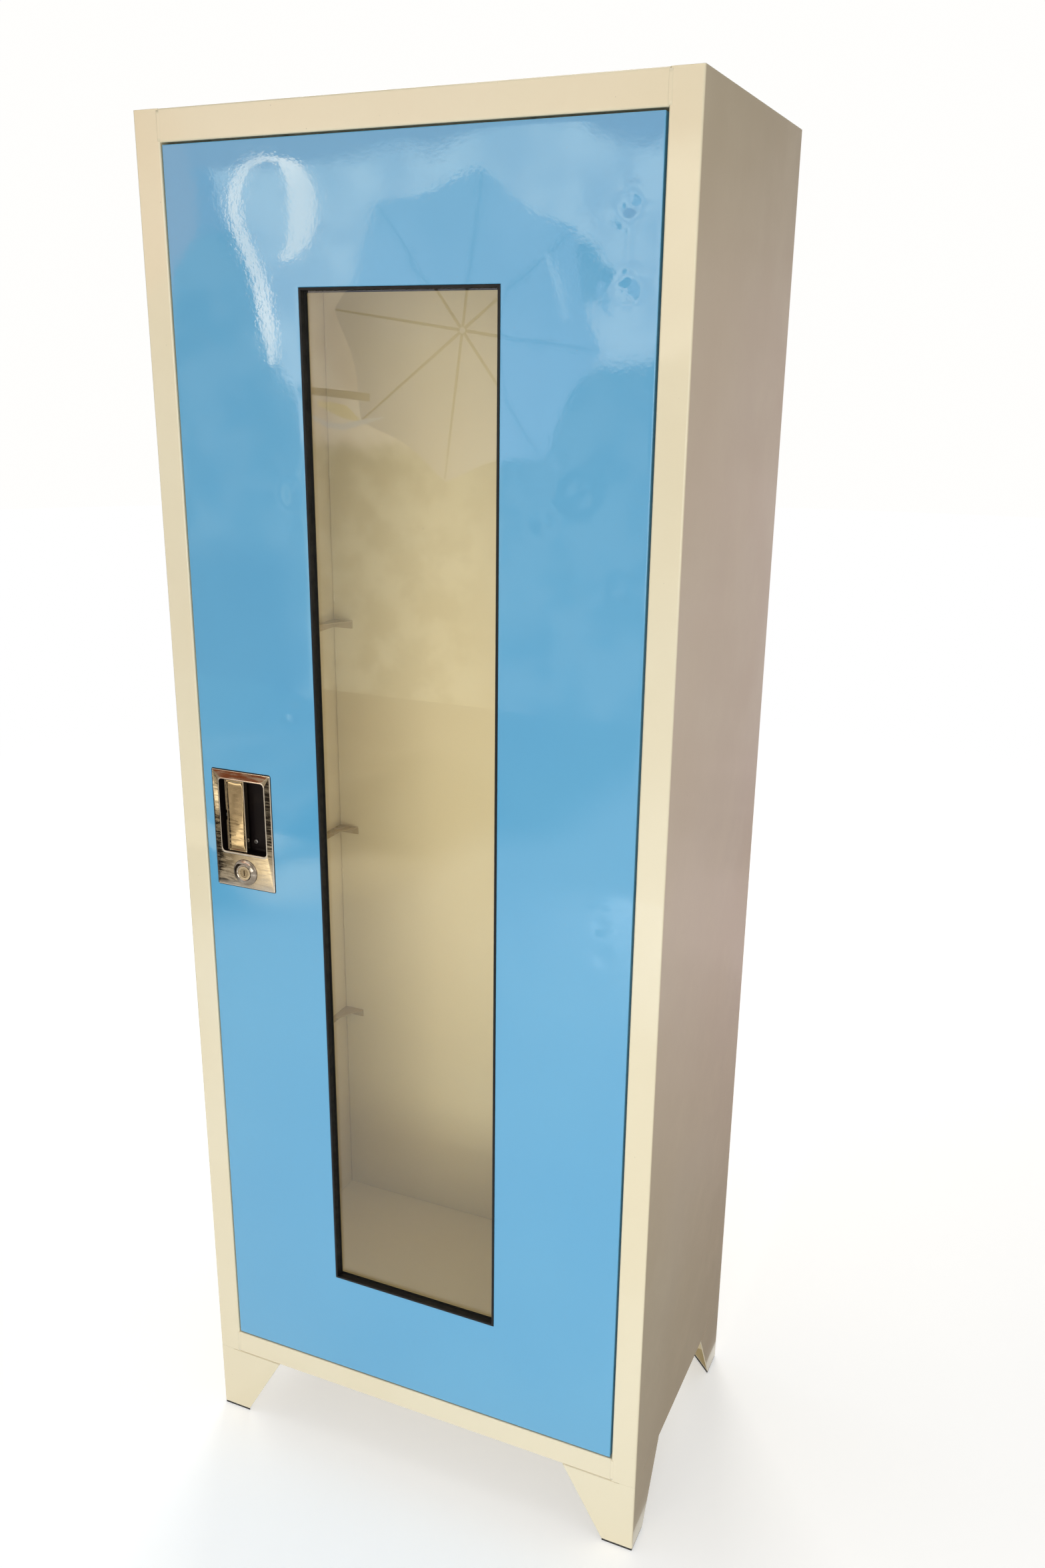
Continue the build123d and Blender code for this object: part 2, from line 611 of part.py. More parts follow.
def window_block(outside, front, back):
    """A block over the window, wider than it by the same distance on all sides."""
    return block(
        (-WINDOW_X - outside, WINDOW_X + outside),
        (front, back),
        (WINDOW_BOTTOM - outside, WINDOW_TOP + outside),
    )


def window_gasket():
    wall = window_block(0, -GASKET_PROUD, WINDOW_TURN)
    flange = window_block(GASKET_LAP, WINDOW_TURN, GLASS_FRONT)
    gasket = wall + flange - window_block(-GASKET_WALL, -GASKET_PROUD, GLASS_FRONT)
    return fillet(gasket.faces().sort_by(Axis.Y)[0].edges(), GASKET_PROUD)


def window_glass():
    return window_block(GLASS_BITE - GASKET_WALL, GLASS_FRONT, GLASS_BACK)


def channel(length):
    """A hat channel along X, open to the front, with its outer faces from the origin."""
    depth = PAN_DEPTH - 2 * SHEET
    outer = block((0, length), (SHEET, SHEET + depth), (0, CHANNEL_WIDTH))
    inner = block((0, length), (SHEET, depth), (SHEET, CHANNEL_WIDTH - SHEET))
    edges = [
        edge
        for edge in outer.faces().sort_by(Axis.Y)[-1].edges()
        if abs(edge.tangent_at(0).X) > 0.5
    ]
    return fillet(edges, SHEET) - inner


def upright_stiffener():
    """The left channel beside the window."""
    length = DOOR_TOP - DOOR_BOTTOM - 2 * FOLD
    upright = Rot(0, -90, 0) * channel(length)
    return Pos(-WINDOW_X - CHANNEL_OUT, 0, DOOR_BOTTOM + FOLD) * upright - upright_screw_holes()


def cross_stiffener(low):
    """A channel across the door, between the two uprights."""
    half = WINDOW_X + CHANNEL_OUT
    return Pos(-half, 0, low) * channel(2 * half) - cross_screw_holes()


def retainer(reach):
    """A Z-shaped strip along X from 0 to reach, holding glass below it to a channel above it."""
    sight = -GASKET_WALL
    points = [
        (GLASS_BACK, sight - (RETAINER_TOE - GLASS_BITE)),
        (GLASS_BACK, CHANNEL_OUT - SHEET - SLIDE),
        (PAN_DEPTH - SHEET, CHANNEL_OUT - SHEET - SLIDE),
        (PAN_DEPTH - SHEET, CHANNEL_OUT + RETAINER_FOOT),
    ]
    return folded(points, Plane.YZ, reach)


def upright_retainer():
    """The left retainer, over the whole height of the glass."""
    reach = WINDOW_HEIGHT + 2 * (GLASS_BITE - GASKET_WALL)
    strip = Rot(0, -90, 0) * retainer(reach)
    low = WINDOW_BOTTOM - GLASS_BITE + GASKET_WALL
    return Pos(-WINDOW_X, 0, low) * strip - upright_screw_holes()


def cross_retainer():
    """The upper retainer, between the two upright ones."""
    half = WINDOW_X - GASKET_WALL - RETAINER_TOE
    return Pos(-half, 0, WINDOW_TOP) * retainer(2 * half) - cross_screw_holes()


def to_lower(shape):
    """A shape at the top of the window, turned to its bottom."""
    middle = (WINDOW_TOP + WINDOW_BOTTOM) / 2
    return mirror(shape, about=Plane((0, 0, middle)))


def upright_screw_places():
    count = max(2, round(WINDOW_HEIGHT / RETAINER_PITCH))
    x = WINDOW_X + CHANNEL_OUT + RETAINER_FOOT / 2
    step = WINDOW_HEIGHT / count
    heights = [WINDOW_BOTTOM + step * (index + 0.5) for index in range(count)]
    return [(side * x, height) for side in (-1, 1) for height in heights]


def cross_screw_places():
    x = (WINDOW_X - GASKET_WALL - RETAINER_TOE) / 2
    rise = CHANNEL_OUT + RETAINER_FOOT / 2
    return [
        (side * x, height)
        for side in (-1, 1)
        for height in (WINDOW_TOP + rise, WINDOW_BOTTOM - rise)
    ]


def retainer_shank(place):
    x, z = place
    point = PAN_DEPTH - 2 * SHEET - RETAINER_POINT
    return bar(RETAINER_SCREW_R, (x, point, z), (x, PAN_DEPTH, z))


def screw_holes(places):
    return Compound([retainer_shank(place).solid() for place in places])


def upright_screw_holes():
    return screw_holes(upright_screw_places())


def cross_screw_holes():
    return screw_holes(cross_screw_places())


def retainer_screw(place):
    x, z = place
    head = bar(RETAINER_HEAD_R, (x, PAN_DEPTH, z), (x, PAN_DEPTH + RETAINER_HEAD, z))
    head = fillet(head.faces().sort_by(Axis.Y)[-1].edges(), RETAINER_HEAD / 2)
    return head + retainer_shank(place)


# ------------------------------------------------------------------- recessed housing
def rounded_prism(width, height, corner, middle_z, front, back):
    """An upright rounded rectangle about the key's x, extruded from front to back."""
    plane = Plane((KEY_X, front, middle_z), x_dir=(1, 0, 0), z_dir=(0, 1, 0))
    return extrude(plane * RectangleRounded(width, height, corner), amount=back - front)


def handle_housing():
    """Face plate and finger recess in one casting."""
    middle = (PLATE_BOTTOM + PLATE_TOP) / 2
    plate = rounded_prism(
        PLATE_WIDTH, PLATE_HEIGHT, PLATE_EDGE, middle, -PLATE_PROUD, 0
    )
    plate = fillet(plate.faces().sort_by(Axis.Y)[0].edges(), PLATE_EDGE)
    cup = rounded_prism(
        RECESS_WIDTH + 2 * CUP_WALL,
        RECESS_HEIGHT + 2 * CUP_WALL,
        RECESS_CORNER + CUP_WALL,
        FLAP_MIDDLE,
        0,
        CUP_DEPTH,
    )
    recess = rounded_prism(
        RECESS_WIDTH, RECESS_HEIGHT, RECESS_CORNER, FLAP_MIDDLE, -PLATE_PROUD,
        CUP_DEPTH - CUP_WALL,
    )
    housing = plate + cup - recess
    rim = [
        edge
        for edge in housing.faces().sort_by(Axis.Y)[0].edges()
        if abs(edge.center().X - KEY_X) < RECESS_WIDTH / 2 + CUP_WALL
        and RECESS_BOTTOM - CUP_WALL < edge.center().Z < RECESS_TOP + CUP_WALL
    ]
    housing = fillet(rim, PLATE_EDGE)
    housing -= cylinder_bar(BODY_R, -PLATE_PROUD, 0)
    housing -= housing_shank()
    return housing - flap_pin()


def cylinder_bar(radius, front, back):
    """A round bar about the key's axis."""
    return bar(radius, (KEY_X, front, KEY_HEIGHT), (KEY_X, back, KEY_HEIGHT))


def cylinder_ring():
    """The turned bezel: a short rim at its foot, then a hollow curve up to a flat face."""
    foot, face = -PLATE_PROUD, -BEZEL_PROUD
    shoulder = foot - BEZEL_CONE
    profile = Line((BODY_R, foot), (BEZEL_R, foot))
    profile += Line((BEZEL_R, foot), (BEZEL_R, shoulder))
    waist = ((BEZEL_R + BEZEL_FACE_R) / 2 - BEZEL_CONE / 2, (shoulder + face) / 2)
    profile += ThreePointArc((BEZEL_R, shoulder), waist, (BEZEL_FACE_R, face))
    profile += Line((BEZEL_FACE_R, face), (BODY_R, face))
    profile += Line((BODY_R, face), (BODY_R, foot))
    ring = revolve(Plane.XY * make_face(profile), Axis.Y)
    return Pos(KEY_X, 0, KEY_HEIGHT) * ring


def cylinder_body():
    body = cylinder_bar(BODY_R, -BEZEL_PROUD + PLUG_INSET / 2, BODY_LENGTH)
    return body - cylinder_bar(PLUG_R + RUN, -BEZEL_PROUD, BODY_LENGTH)


def cylinder_nut():
    nut = hexagon(2 * CYLINDER_NUT_R * cos(pi / 6), (KEY_X, 0, KEY_HEIGHT),
                  (KEY_X, CYLINDER_NUT, KEY_HEIGHT))
    return nut - cylinder_bar(BODY_R, 0, CYLINDER_NUT)


def key_plug():
    face = -BEZEL_PROUD + PLUG_INSET
    plug = cylinder_bar(PLUG_R, face, BODY_LENGTH)
    plug += cylinder_bar(SHAFT_R, BODY_LENGTH, WHEEL_BACK)
    keyway = block(
        span(KEY_X, KEYWAY_WIDTH / 2),
        (face, face + KEYWAY_DEPTH),
        span(KEY_HEIGHT, KEYWAY_HEIGHT / 2),
    )
    return plug - keyway


# ------------------------------------------------------------------- bolt work
def wheel_pin(angle, front, back):
    x = KEY_X + WHEEL_PIN_CIRCLE * cos(radians(angle))
    z = KEY_HEIGHT + WHEEL_PIN_CIRCLE * sin(radians(angle))
    return bar(WHEEL_PIN_R, (x, front, z), (x, back, z))


def bolt_wheel():
    """The wheel on the plug's end: two pins behind it drive the rods, one in front the bolt."""
    rim = WHEEL_PIN_CIRCLE + WHEEL_PIN_R + WHEEL_RIM
    wheel = cylinder_bar(rim, WHEEL_FRONT, WHEEL_BACK) - cylinder_bar(
        SHAFT_R, WHEEL_FRONT, WHEEL_BACK
    )
    wheel += wheel_pin(TOP_PIN_ANGLE, WHEEL_BACK, ROD_BACK)
    wheel += wheel_pin(BOTTOM_PIN_ANGLE, WHEEL_BACK, ROD_BACK)
    return wheel + wheel_pin(SIDE_PIN_ANGLE, BOLT_FRONT, WHEEL_FRONT)


def wheel_screw():
    head = cylinder_bar(WHEEL_SCREW_R, WHEEL_BACK, WHEEL_BACK + WHEEL_SCREW)
    return chamfer(head.faces().sort_by(Axis.Y)[-1].edges(), SLIDE)


def pin_slot(middle_u, middle_v, upright, ds):
    """The slot for a wheel pin: it lets the pin wander across the bar's travel."""
    wander = (WHEEL_PIN_CIRCLE - PIN_SIDE) / 2
    long_half = wander + WHEEL_PIN_R + PIN_SLACK
    short_half = WHEEL_PIN_R + PIN_SLACK
    half_u, half_v = (short_half, long_half) if upright else (long_half, short_half)
    return block(span(KEY_X + middle_u, half_u), ds, span(KEY_HEIGHT + middle_v, half_v))


def top_lock_rod():
    rod = block(
        span(TOP_ROD_X, BAR_HALF),
        (ROD_FRONT, ROD_BACK),
        (KEY_HEIGHT - BAR_END, DOOR_TOP - ROD_END),
    )
    rod -= pin_slot(-BAR_MIDDLE, -PIN_SIDE, False, (ROD_FRONT, ROD_BACK))
    return tapered_tip(rod, Axis.Z, -1, Axis.X)


def bottom_lock_rod():
    rod = block(
        span(BOTTOM_ROD_X, BAR_HALF),
        (ROD_FRONT, ROD_BACK),
        (DOOR_BOTTOM + ROD_END, KEY_HEIGHT + BAR_END),
    )
    rod -= pin_slot(BAR_MIDDLE, PIN_SIDE, False, (ROD_FRONT, ROD_BACK))
    return tapered_tip(rod, Axis.Z, 0, Axis.X)


def side_bolt():
    ds = (BOLT_FRONT, BOLT_FRONT + BOLT)
    bolt = block((-DOOR_X + ROD_END, KEY_X + BAR_END), ds, span(SIDE_BOLT_Z, BAR_HALF))
    bolt -= pin_slot(PIN_SIDE, -BAR_MIDDLE, True, ds)
    return tapered_tip(bolt, Axis.X, 0, Axis.Z)


def tapered_tip(shape, travel, end, across):
    """A bolt with the two corners of its leading end cut off."""
    edges = shape.faces().sort_by(travel)[end].edges().filter_by(Axis.Y).sort_by(across)
    return chamfer(edges, BAR_EDGE)


def lock_bracket():
    """A hat section over the bolt work, clamping the skin between its feet and the plate."""
    foot = CUTOUT_X + BRACKET_FOOT
    points = [
        (-foot, SHEET + BRACKET_SHEET),
        (-BRACKET_X - BRACKET_SHEET, SHEET + BRACKET_SHEET),
        (-BRACKET_X - BRACKET_SHEET, BRACKET_BACK),
        (BRACKET_X + BRACKET_SHEET, BRACKET_BACK),
        (BRACKET_X + BRACKET_SHEET, SHEET + BRACKET_SHEET),
        (foot, SHEET + BRACKET_SHEET),
    ]
    low, high = PLATE_BOTTOM, RECESS_BOTTOM - CUP_WALL - CUTOUT_GAP
    bracket = folded(points, Plane((KEY_X, 0, low)), high - low, BRACKET_SHEET, BRACKET_SHEET)
    bracket += block(
        span(KEY_X + HOUSING_SCREW_OUT, BRACKET_TAB_WIDTH / 2),
        (BRACKET_BACK - BRACKET_SHEET, BRACKET_BACK),
        (high, high + BRACKET_TAB),
    )
    return bracket - side_bolt_slot() - housing_shank()


def housing_axis(depth):
    return (KEY_X + HOUSING_SCREW_OUT, depth, RECESS_BOTTOM + HOUSING_SCREW_UP)


def housing_shank():
    return bar(
        HOUSING_SCREW_R, housing_axis(CUP_DEPTH - CUP_WALL), housing_axis(BRACKET_BACK)
    )


def housing_screw():
    floor = CUP_DEPTH - CUP_WALL
    head = bar(HOUSING_HEAD_R, housing_axis(floor - HOUSING_HEAD), housing_axis(floor))
    head = fillet(head.faces().sort_by(Axis.Y)[0].edges(), HOUSING_HEAD / 2)
    return head + housing_shank()


def housing_spacer():
    ends = (housing_axis(CUP_DEPTH), housing_axis(BRACKET_BACK - BRACKET_SHEET))
    return bar(HOUSING_SCREW_R + SPACER_WALL, *ends) - bar(HOUSING_SCREW_R, *ends)


def rod_guide(x, height):
    """A nylon block on the door's skin, with a way through for a rod."""
    guide = block(
        span(x, BAR_HALF + GUIDE_WALL), (SHEET, BRACKET_BACK), span(height, GUIDE_HEIGHT / 2)
    )
    way = block(
        span(x, BAR_HALF + SLIDE),
        (ROD_FRONT - SLIDE, ROD_BACK + SLIDE),
        span(height, GUIDE_HEIGHT / 2),
    )
    return guide - way


# ------------------------------------------------------------------- pull flap
def flap_bar(radius, low, high):
    """A round bar about the flap's axis."""
    return bar(radius, (FLAP_AXIS_X, FLAP_AXIS_D, low), (FLAP_AXIS_X, FLAP_AXIS_D, high))


def flap_pin():
    return flap_bar(FLAP_PIN_R, RECESS_BOTTOM - CUP_WALL, RECESS_TOP + CUP_WALL)


def pull_flap():
    """A plate with its hinged edge rolled round the pin and its free edge turned back."""
    zs = (FLAP_BOTTOM, FLAP_TOP)
    right = FLAP_AXIS_X - ROLL_R + FLAP_WIDTH
    flap = block((FLAP_AXIS_X, right), (0, FLAP_SHEET), zs)
    flap += block((right - FLAP_SHEET, right), (0, FLAP_GRIP), zs)
    flap = fillet(flap.faces().sort_by(Axis.Y)[0].edges().sort_by(Axis.X)[-1], FLAP_SHEET / 2)
    flap += flap_bar(ROLL_R, *zs)
    flap -= flap_bar(FLAP_PIN_R + RUN, *zs)
    room = ROLL_R + SLIDE
    return flap - block(
        span(FLAP_AXIS_X, room), span(FLAP_AXIS_D, room), span(FLAP_MIDDLE, SPRING_ROOM / 2)
    )


def flap_spring():
    """A close-wound torsion spring on the pin: one leg behind the flap, one down to the floor."""
    length = 2 * SPRING_WIRE_R * SPRING_TURNS
    low, high = FLAP_MIDDLE - length / 2, FLAP_MIDDLE + length / 2
    spring = flap_bar(SPRING_COIL_R + SPRING_WIRE_R, low, high)
    spring -= flap_bar(SPRING_COIL_R - SPRING_WIRE_R, low, high)
    near_x = FLAP_AXIS_X + SPRING_COIL_R
    far_x = near_x + SPRING_LEG
    leg = (low, low + 2 * SPRING_WIRE_R)
    spring += block((near_x, far_x), span(FLAP_AXIS_D, SPRING_WIRE_R), leg)
    spring += block((near_x, far_x), span(FLAP_AXIS_D, SPRING_WIRE_R), (high - leg[1] + low, high))
    foot = (far_x - 2 * SPRING_WIRE_R, far_x)
    return spring + block(foot, (FLAP_AXIS_D, CUP_DEPTH - CUP_WALL), leg)


# ------------------------------------------------------------------- catch and buffers
def catch_magnet():
    across, deep, high = CATCH_MAGNET
    ds = (MAGNET_FRONT, MAGNET_FRONT + deep)
    return block(span(CATCH_X, across / 2), ds, span(CATCH_HEIGHT, high / 2))


def catch_case():
    """A block beside the lip, with an ear that is screwed to the back of the lip."""
    across, deep, high = CATCH_CASE
    zs = span(CATCH_HEIGHT, high / 2)
    case = block(span(CATCH_X, across / 2), (CASE_FRONT, CASE_FRONT + deep), zs)
    case += block((-OPENING, CATCH_X), (JAMB, JAMB + CATCH_EAR), zs)
    return case - catch_magnet() - catch_shanks()


def catch_shank(z):
    ends = [(CATCH_SCREW_X, depth, z) for depth in (JAMB - SHEET, JAMB + CATCH_EAR)]
    return bar(CATCH_SCREW_R, *ends)


def catch_shanks():
    return Compound([catch_shank(z).solid() for z in CATCH_SCREW_LEVELS])


def catch_screw(z):
    back = JAMB + CATCH_EAR
    head = bar(CATCH_HEAD_R, (CATCH_SCREW_X, back, z), (CATCH_SCREW_X, back + CATCH_HEAD, z))
    head = fillet(head.faces().sort_by(Axis.Y)[-1].edges(), CATCH_HEAD / 2)
    return head + catch_shank(z)


def rivet_shank(z):
    return bar(CATCH_SCREW_R, (RIVET_X, PAN_DEPTH - SHEET, z), (RIVET_X, PAN_DEPTH + ARMATURE, z))


def rivet_shanks():
    return Compound([rivet_shank(z).solid() for z in CATCH_SCREW_LEVELS])


def catch_armature():
    """A steel plate on the door's lip, reaching in front of the magnet."""
    right = CATCH_X + CATCH_MAGNET[0] / 2 + SHEET
    plate = block(
        (-DOOR_X + SHEET, right),
        (PAN_DEPTH, PAN_DEPTH + ARMATURE),
        span(CATCH_HEIGHT, ARMATURE_HEIGHT / 2),
    )
    return plate - rivet_shanks()


def armature_rivet(z):
    front = PAN_DEPTH - SHEET - RIVET_HEAD
    head = bar(CATCH_HEAD_R, (RIVET_X, front, z), (RIVET_X, PAN_DEPTH - SHEET, z))
    return head + rivet_shank(z)


def buffer(x, z):
    """A rubber stop on the front of the lip, just clear of the closed door."""
    stop = bar(BUFFER_R, (x, PAN_DEPTH + REST_GAP, z), (x, JAMB - SHEET, z))
    return fillet(stop.faces().sort_by(Axis.Y)[0].edges(), BUFFER_EDGE)


def door_buffers():
    beside = -OPENING + STOP_LIP / 2
    over = OPENING_TOP - STOP_LIP / 2
    places = [(beside, DOOR_BOTTOM + BUFFER_FROM_END), (beside, DOOR_TOP - BUFFER_FROM_END)]
    places += [(-BUFFER_OUT, over), (BUFFER_OUT, over)]
    return [buffer(*place) for place in places]


# ------------------------------------------------------------------- the nodes
os.makedirs("parts", exist_ok=True)

# carcass
save("left_side_panel", left_side_panel() - catch_shanks())
save("right_side_panel", right_side_panel())
save("top_panel", top_panel())
save("bottom_panel", bottom_panel())
save("back_panel", back_panel())

LEG_NAMES = ("front_left_leg", "front_right_leg", "rear_left_leg", "rear_right_leg")
for name, shape in zip(LEG_NAMES, four_corners(leg())):
    save(name, shape)
save("foot_pads", *four_corners(corner_triangle(PAD_INSET, LEG_FOOT, (0, PAD_HEIGHT))))

for place, level in SEAT_LEVELS.items():
    seats = [corner_seat(level, front=True), corner_seat(level, front=False)]
    save(f"{place}_shelf_seats", *seats, *[mirrored(seat) for seat in seats])

over_opening = OPENING_TOP + SHEET
under_sill = SILL - SHEET
save("top_rod_keeper", rod_keeper(TOP_ROD_X, (over_opening, over_opening + KEEPER_SHEET)))
save("bottom_rod_keeper", rod_keeper(BOTTOM_ROD_X, (under_sill - KEEPER_SHEET, under_sill)))
save("side_bolt_strike", side_bolt_strike())

save("catch_case", catch_case())
save("catch_magnet", catch_magnet())
save("catch_screws", *[catch_screw(level) for level in CATCH_SCREW_LEVELS])
save("door_buffers", *door_buffers())

# hinges
for place, level in HINGE_LEVELS.items():
    save(f"{place}_hinge_frame_leaf", frame_leaf(level))
    save(f"{place}_hinge_door_leaf", door_leaf(level))
save("hinge_screws", *[hinge_screw(level) for level in hinge_screw_levels()])
save("hinge_nuts", *[hinge_nut(level) for level in hinge_screw_levels()])
save("hinge_pins", *[hinge_pin(level) for level in HINGE_LEVELS.values()])

# door
save("door_pan", door_pan() - rivet_shanks())
save("left_stiffener", upright_stiffener())
save("right_stiffener", mirrored(upright_stiffener()))
upper_stiffener = cross_stiffener(WINDOW_TOP + CHANNEL_OUT)
save("upper_stiffener", upper_stiffener)
save("lower_stiffener", to_lower(upper_stiffener))
save("window_gasket", window_gasket())
save("window_glass", window_glass())
save("left_glass_retainer", upright_retainer())
save("right_glass_retainer", mirrored(upright_retainer()))
save("upper_glass_retainer", cross_retainer())
save("lower_glass_retainer", to_lower(cross_retainer()))
screw_places = upright_screw_places() + cross_screw_places()
save("retainer_screws", *[retainer_screw(place) for place in screw_places])
save("catch_armature", catch_armature())
save("armature_rivets", *[armature_rivet(level) for level in CATCH_SCREW_LEVELS])

# housing, lock and bolt work
save("handle_housing", handle_housing())
save("housing_spacer", housing_spacer())
save("housing_screw", housing_screw())
save("cylinder_ring", cylinder_ring())
save("cylinder_body", cylinder_body())
save("cylinder_nut", cylinder_nut())
save("key_plug", key_plug())
save("bolt_wheel", bolt_wheel())
save("wheel_screw", wheel_screw())
save("lock_bracket", lock_bracket())
guides = [rod_guide(TOP_ROD_X, height) for height in TOP_GUIDES]
guides += [rod_guide(BOTTOM_ROD_X, height) for height in BOTTOM_GUIDES]
save("rod_guides", *guides)
save("top_lock_rod", top_lock_rod())
save("bottom_lock_rod", bottom_lock_rod())
save("side_bolt", side_bolt())

# pull flap
save("flap_pin", flap_pin())
save("flap_spring", flap_spring())
save("pull_flap", pull_flap())
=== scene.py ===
import math

import bmesh
import bpy
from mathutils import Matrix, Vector, noise


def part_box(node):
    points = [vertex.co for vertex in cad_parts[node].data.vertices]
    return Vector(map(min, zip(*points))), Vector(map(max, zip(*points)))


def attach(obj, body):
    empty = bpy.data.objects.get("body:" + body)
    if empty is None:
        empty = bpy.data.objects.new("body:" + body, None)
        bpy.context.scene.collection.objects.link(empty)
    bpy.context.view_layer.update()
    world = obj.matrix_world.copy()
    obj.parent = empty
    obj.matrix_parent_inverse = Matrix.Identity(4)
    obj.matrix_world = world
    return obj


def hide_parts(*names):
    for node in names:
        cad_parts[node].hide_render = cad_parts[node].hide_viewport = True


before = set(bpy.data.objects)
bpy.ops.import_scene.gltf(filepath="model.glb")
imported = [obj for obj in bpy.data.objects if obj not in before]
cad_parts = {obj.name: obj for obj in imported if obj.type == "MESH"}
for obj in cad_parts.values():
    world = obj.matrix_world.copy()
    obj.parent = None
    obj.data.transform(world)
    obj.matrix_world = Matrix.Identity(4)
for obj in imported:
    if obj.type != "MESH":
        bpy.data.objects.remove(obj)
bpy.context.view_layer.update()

# The part's lengths are in millimetres, up to the point where a mesh is written. Lengths in
# materials and in the studio are in metres.
METRE = 1000.0


def box(node):
    """A CAD node's lowest and highest corners, in millimetres."""
    return [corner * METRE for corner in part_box(node)]


PAN_LOW, PAN_HIGH = box("door_pan")
GLASS_LOW, GLASS_HIGH = box("window_glass")
PLATE_LOW, PLATE_HIGH = box("handle_housing")
RING_LOW, RING_HIGH = box("cylinder_ring")
FLAP_LOW, FLAP_HIGH = box("pull_flap")
SPRING_LOW, SPRING_HIGH = box("flap_spring")
BACK_LOW, BACK_HIGH = box("back_panel")
SIDE_LOW = box("right_side_panel")[0]
TOP_HIGH = box("top_panel")[1]
FACE = PAN_LOW.y  # front face of the door and of the carcass

SHEET = 1.0
FOLD = 2.0
JOINT_X = 302.5  # ends of the rails, between the side panels' front folds
JOINT_NEAR = 4.5  # the joint is ground flush this far each way
DOOR_MIDDLE = (PAN_LOW.z + PAN_HIGH.z) / 2
JOINT_RISE = (PAN_HIGH.z - PAN_LOW.z) / 2 + 2.0  # rails' inner edges from the door's middle


# --- node trees
def colour(value):
    """A colour as a node takes it; a socket stays as it is."""
    return (*value, 1.0) if isinstance(value, tuple) else value


def scaled(tone, share):
    """A colour made darker or lighter."""
    return tuple(share * channel for channel in tone)


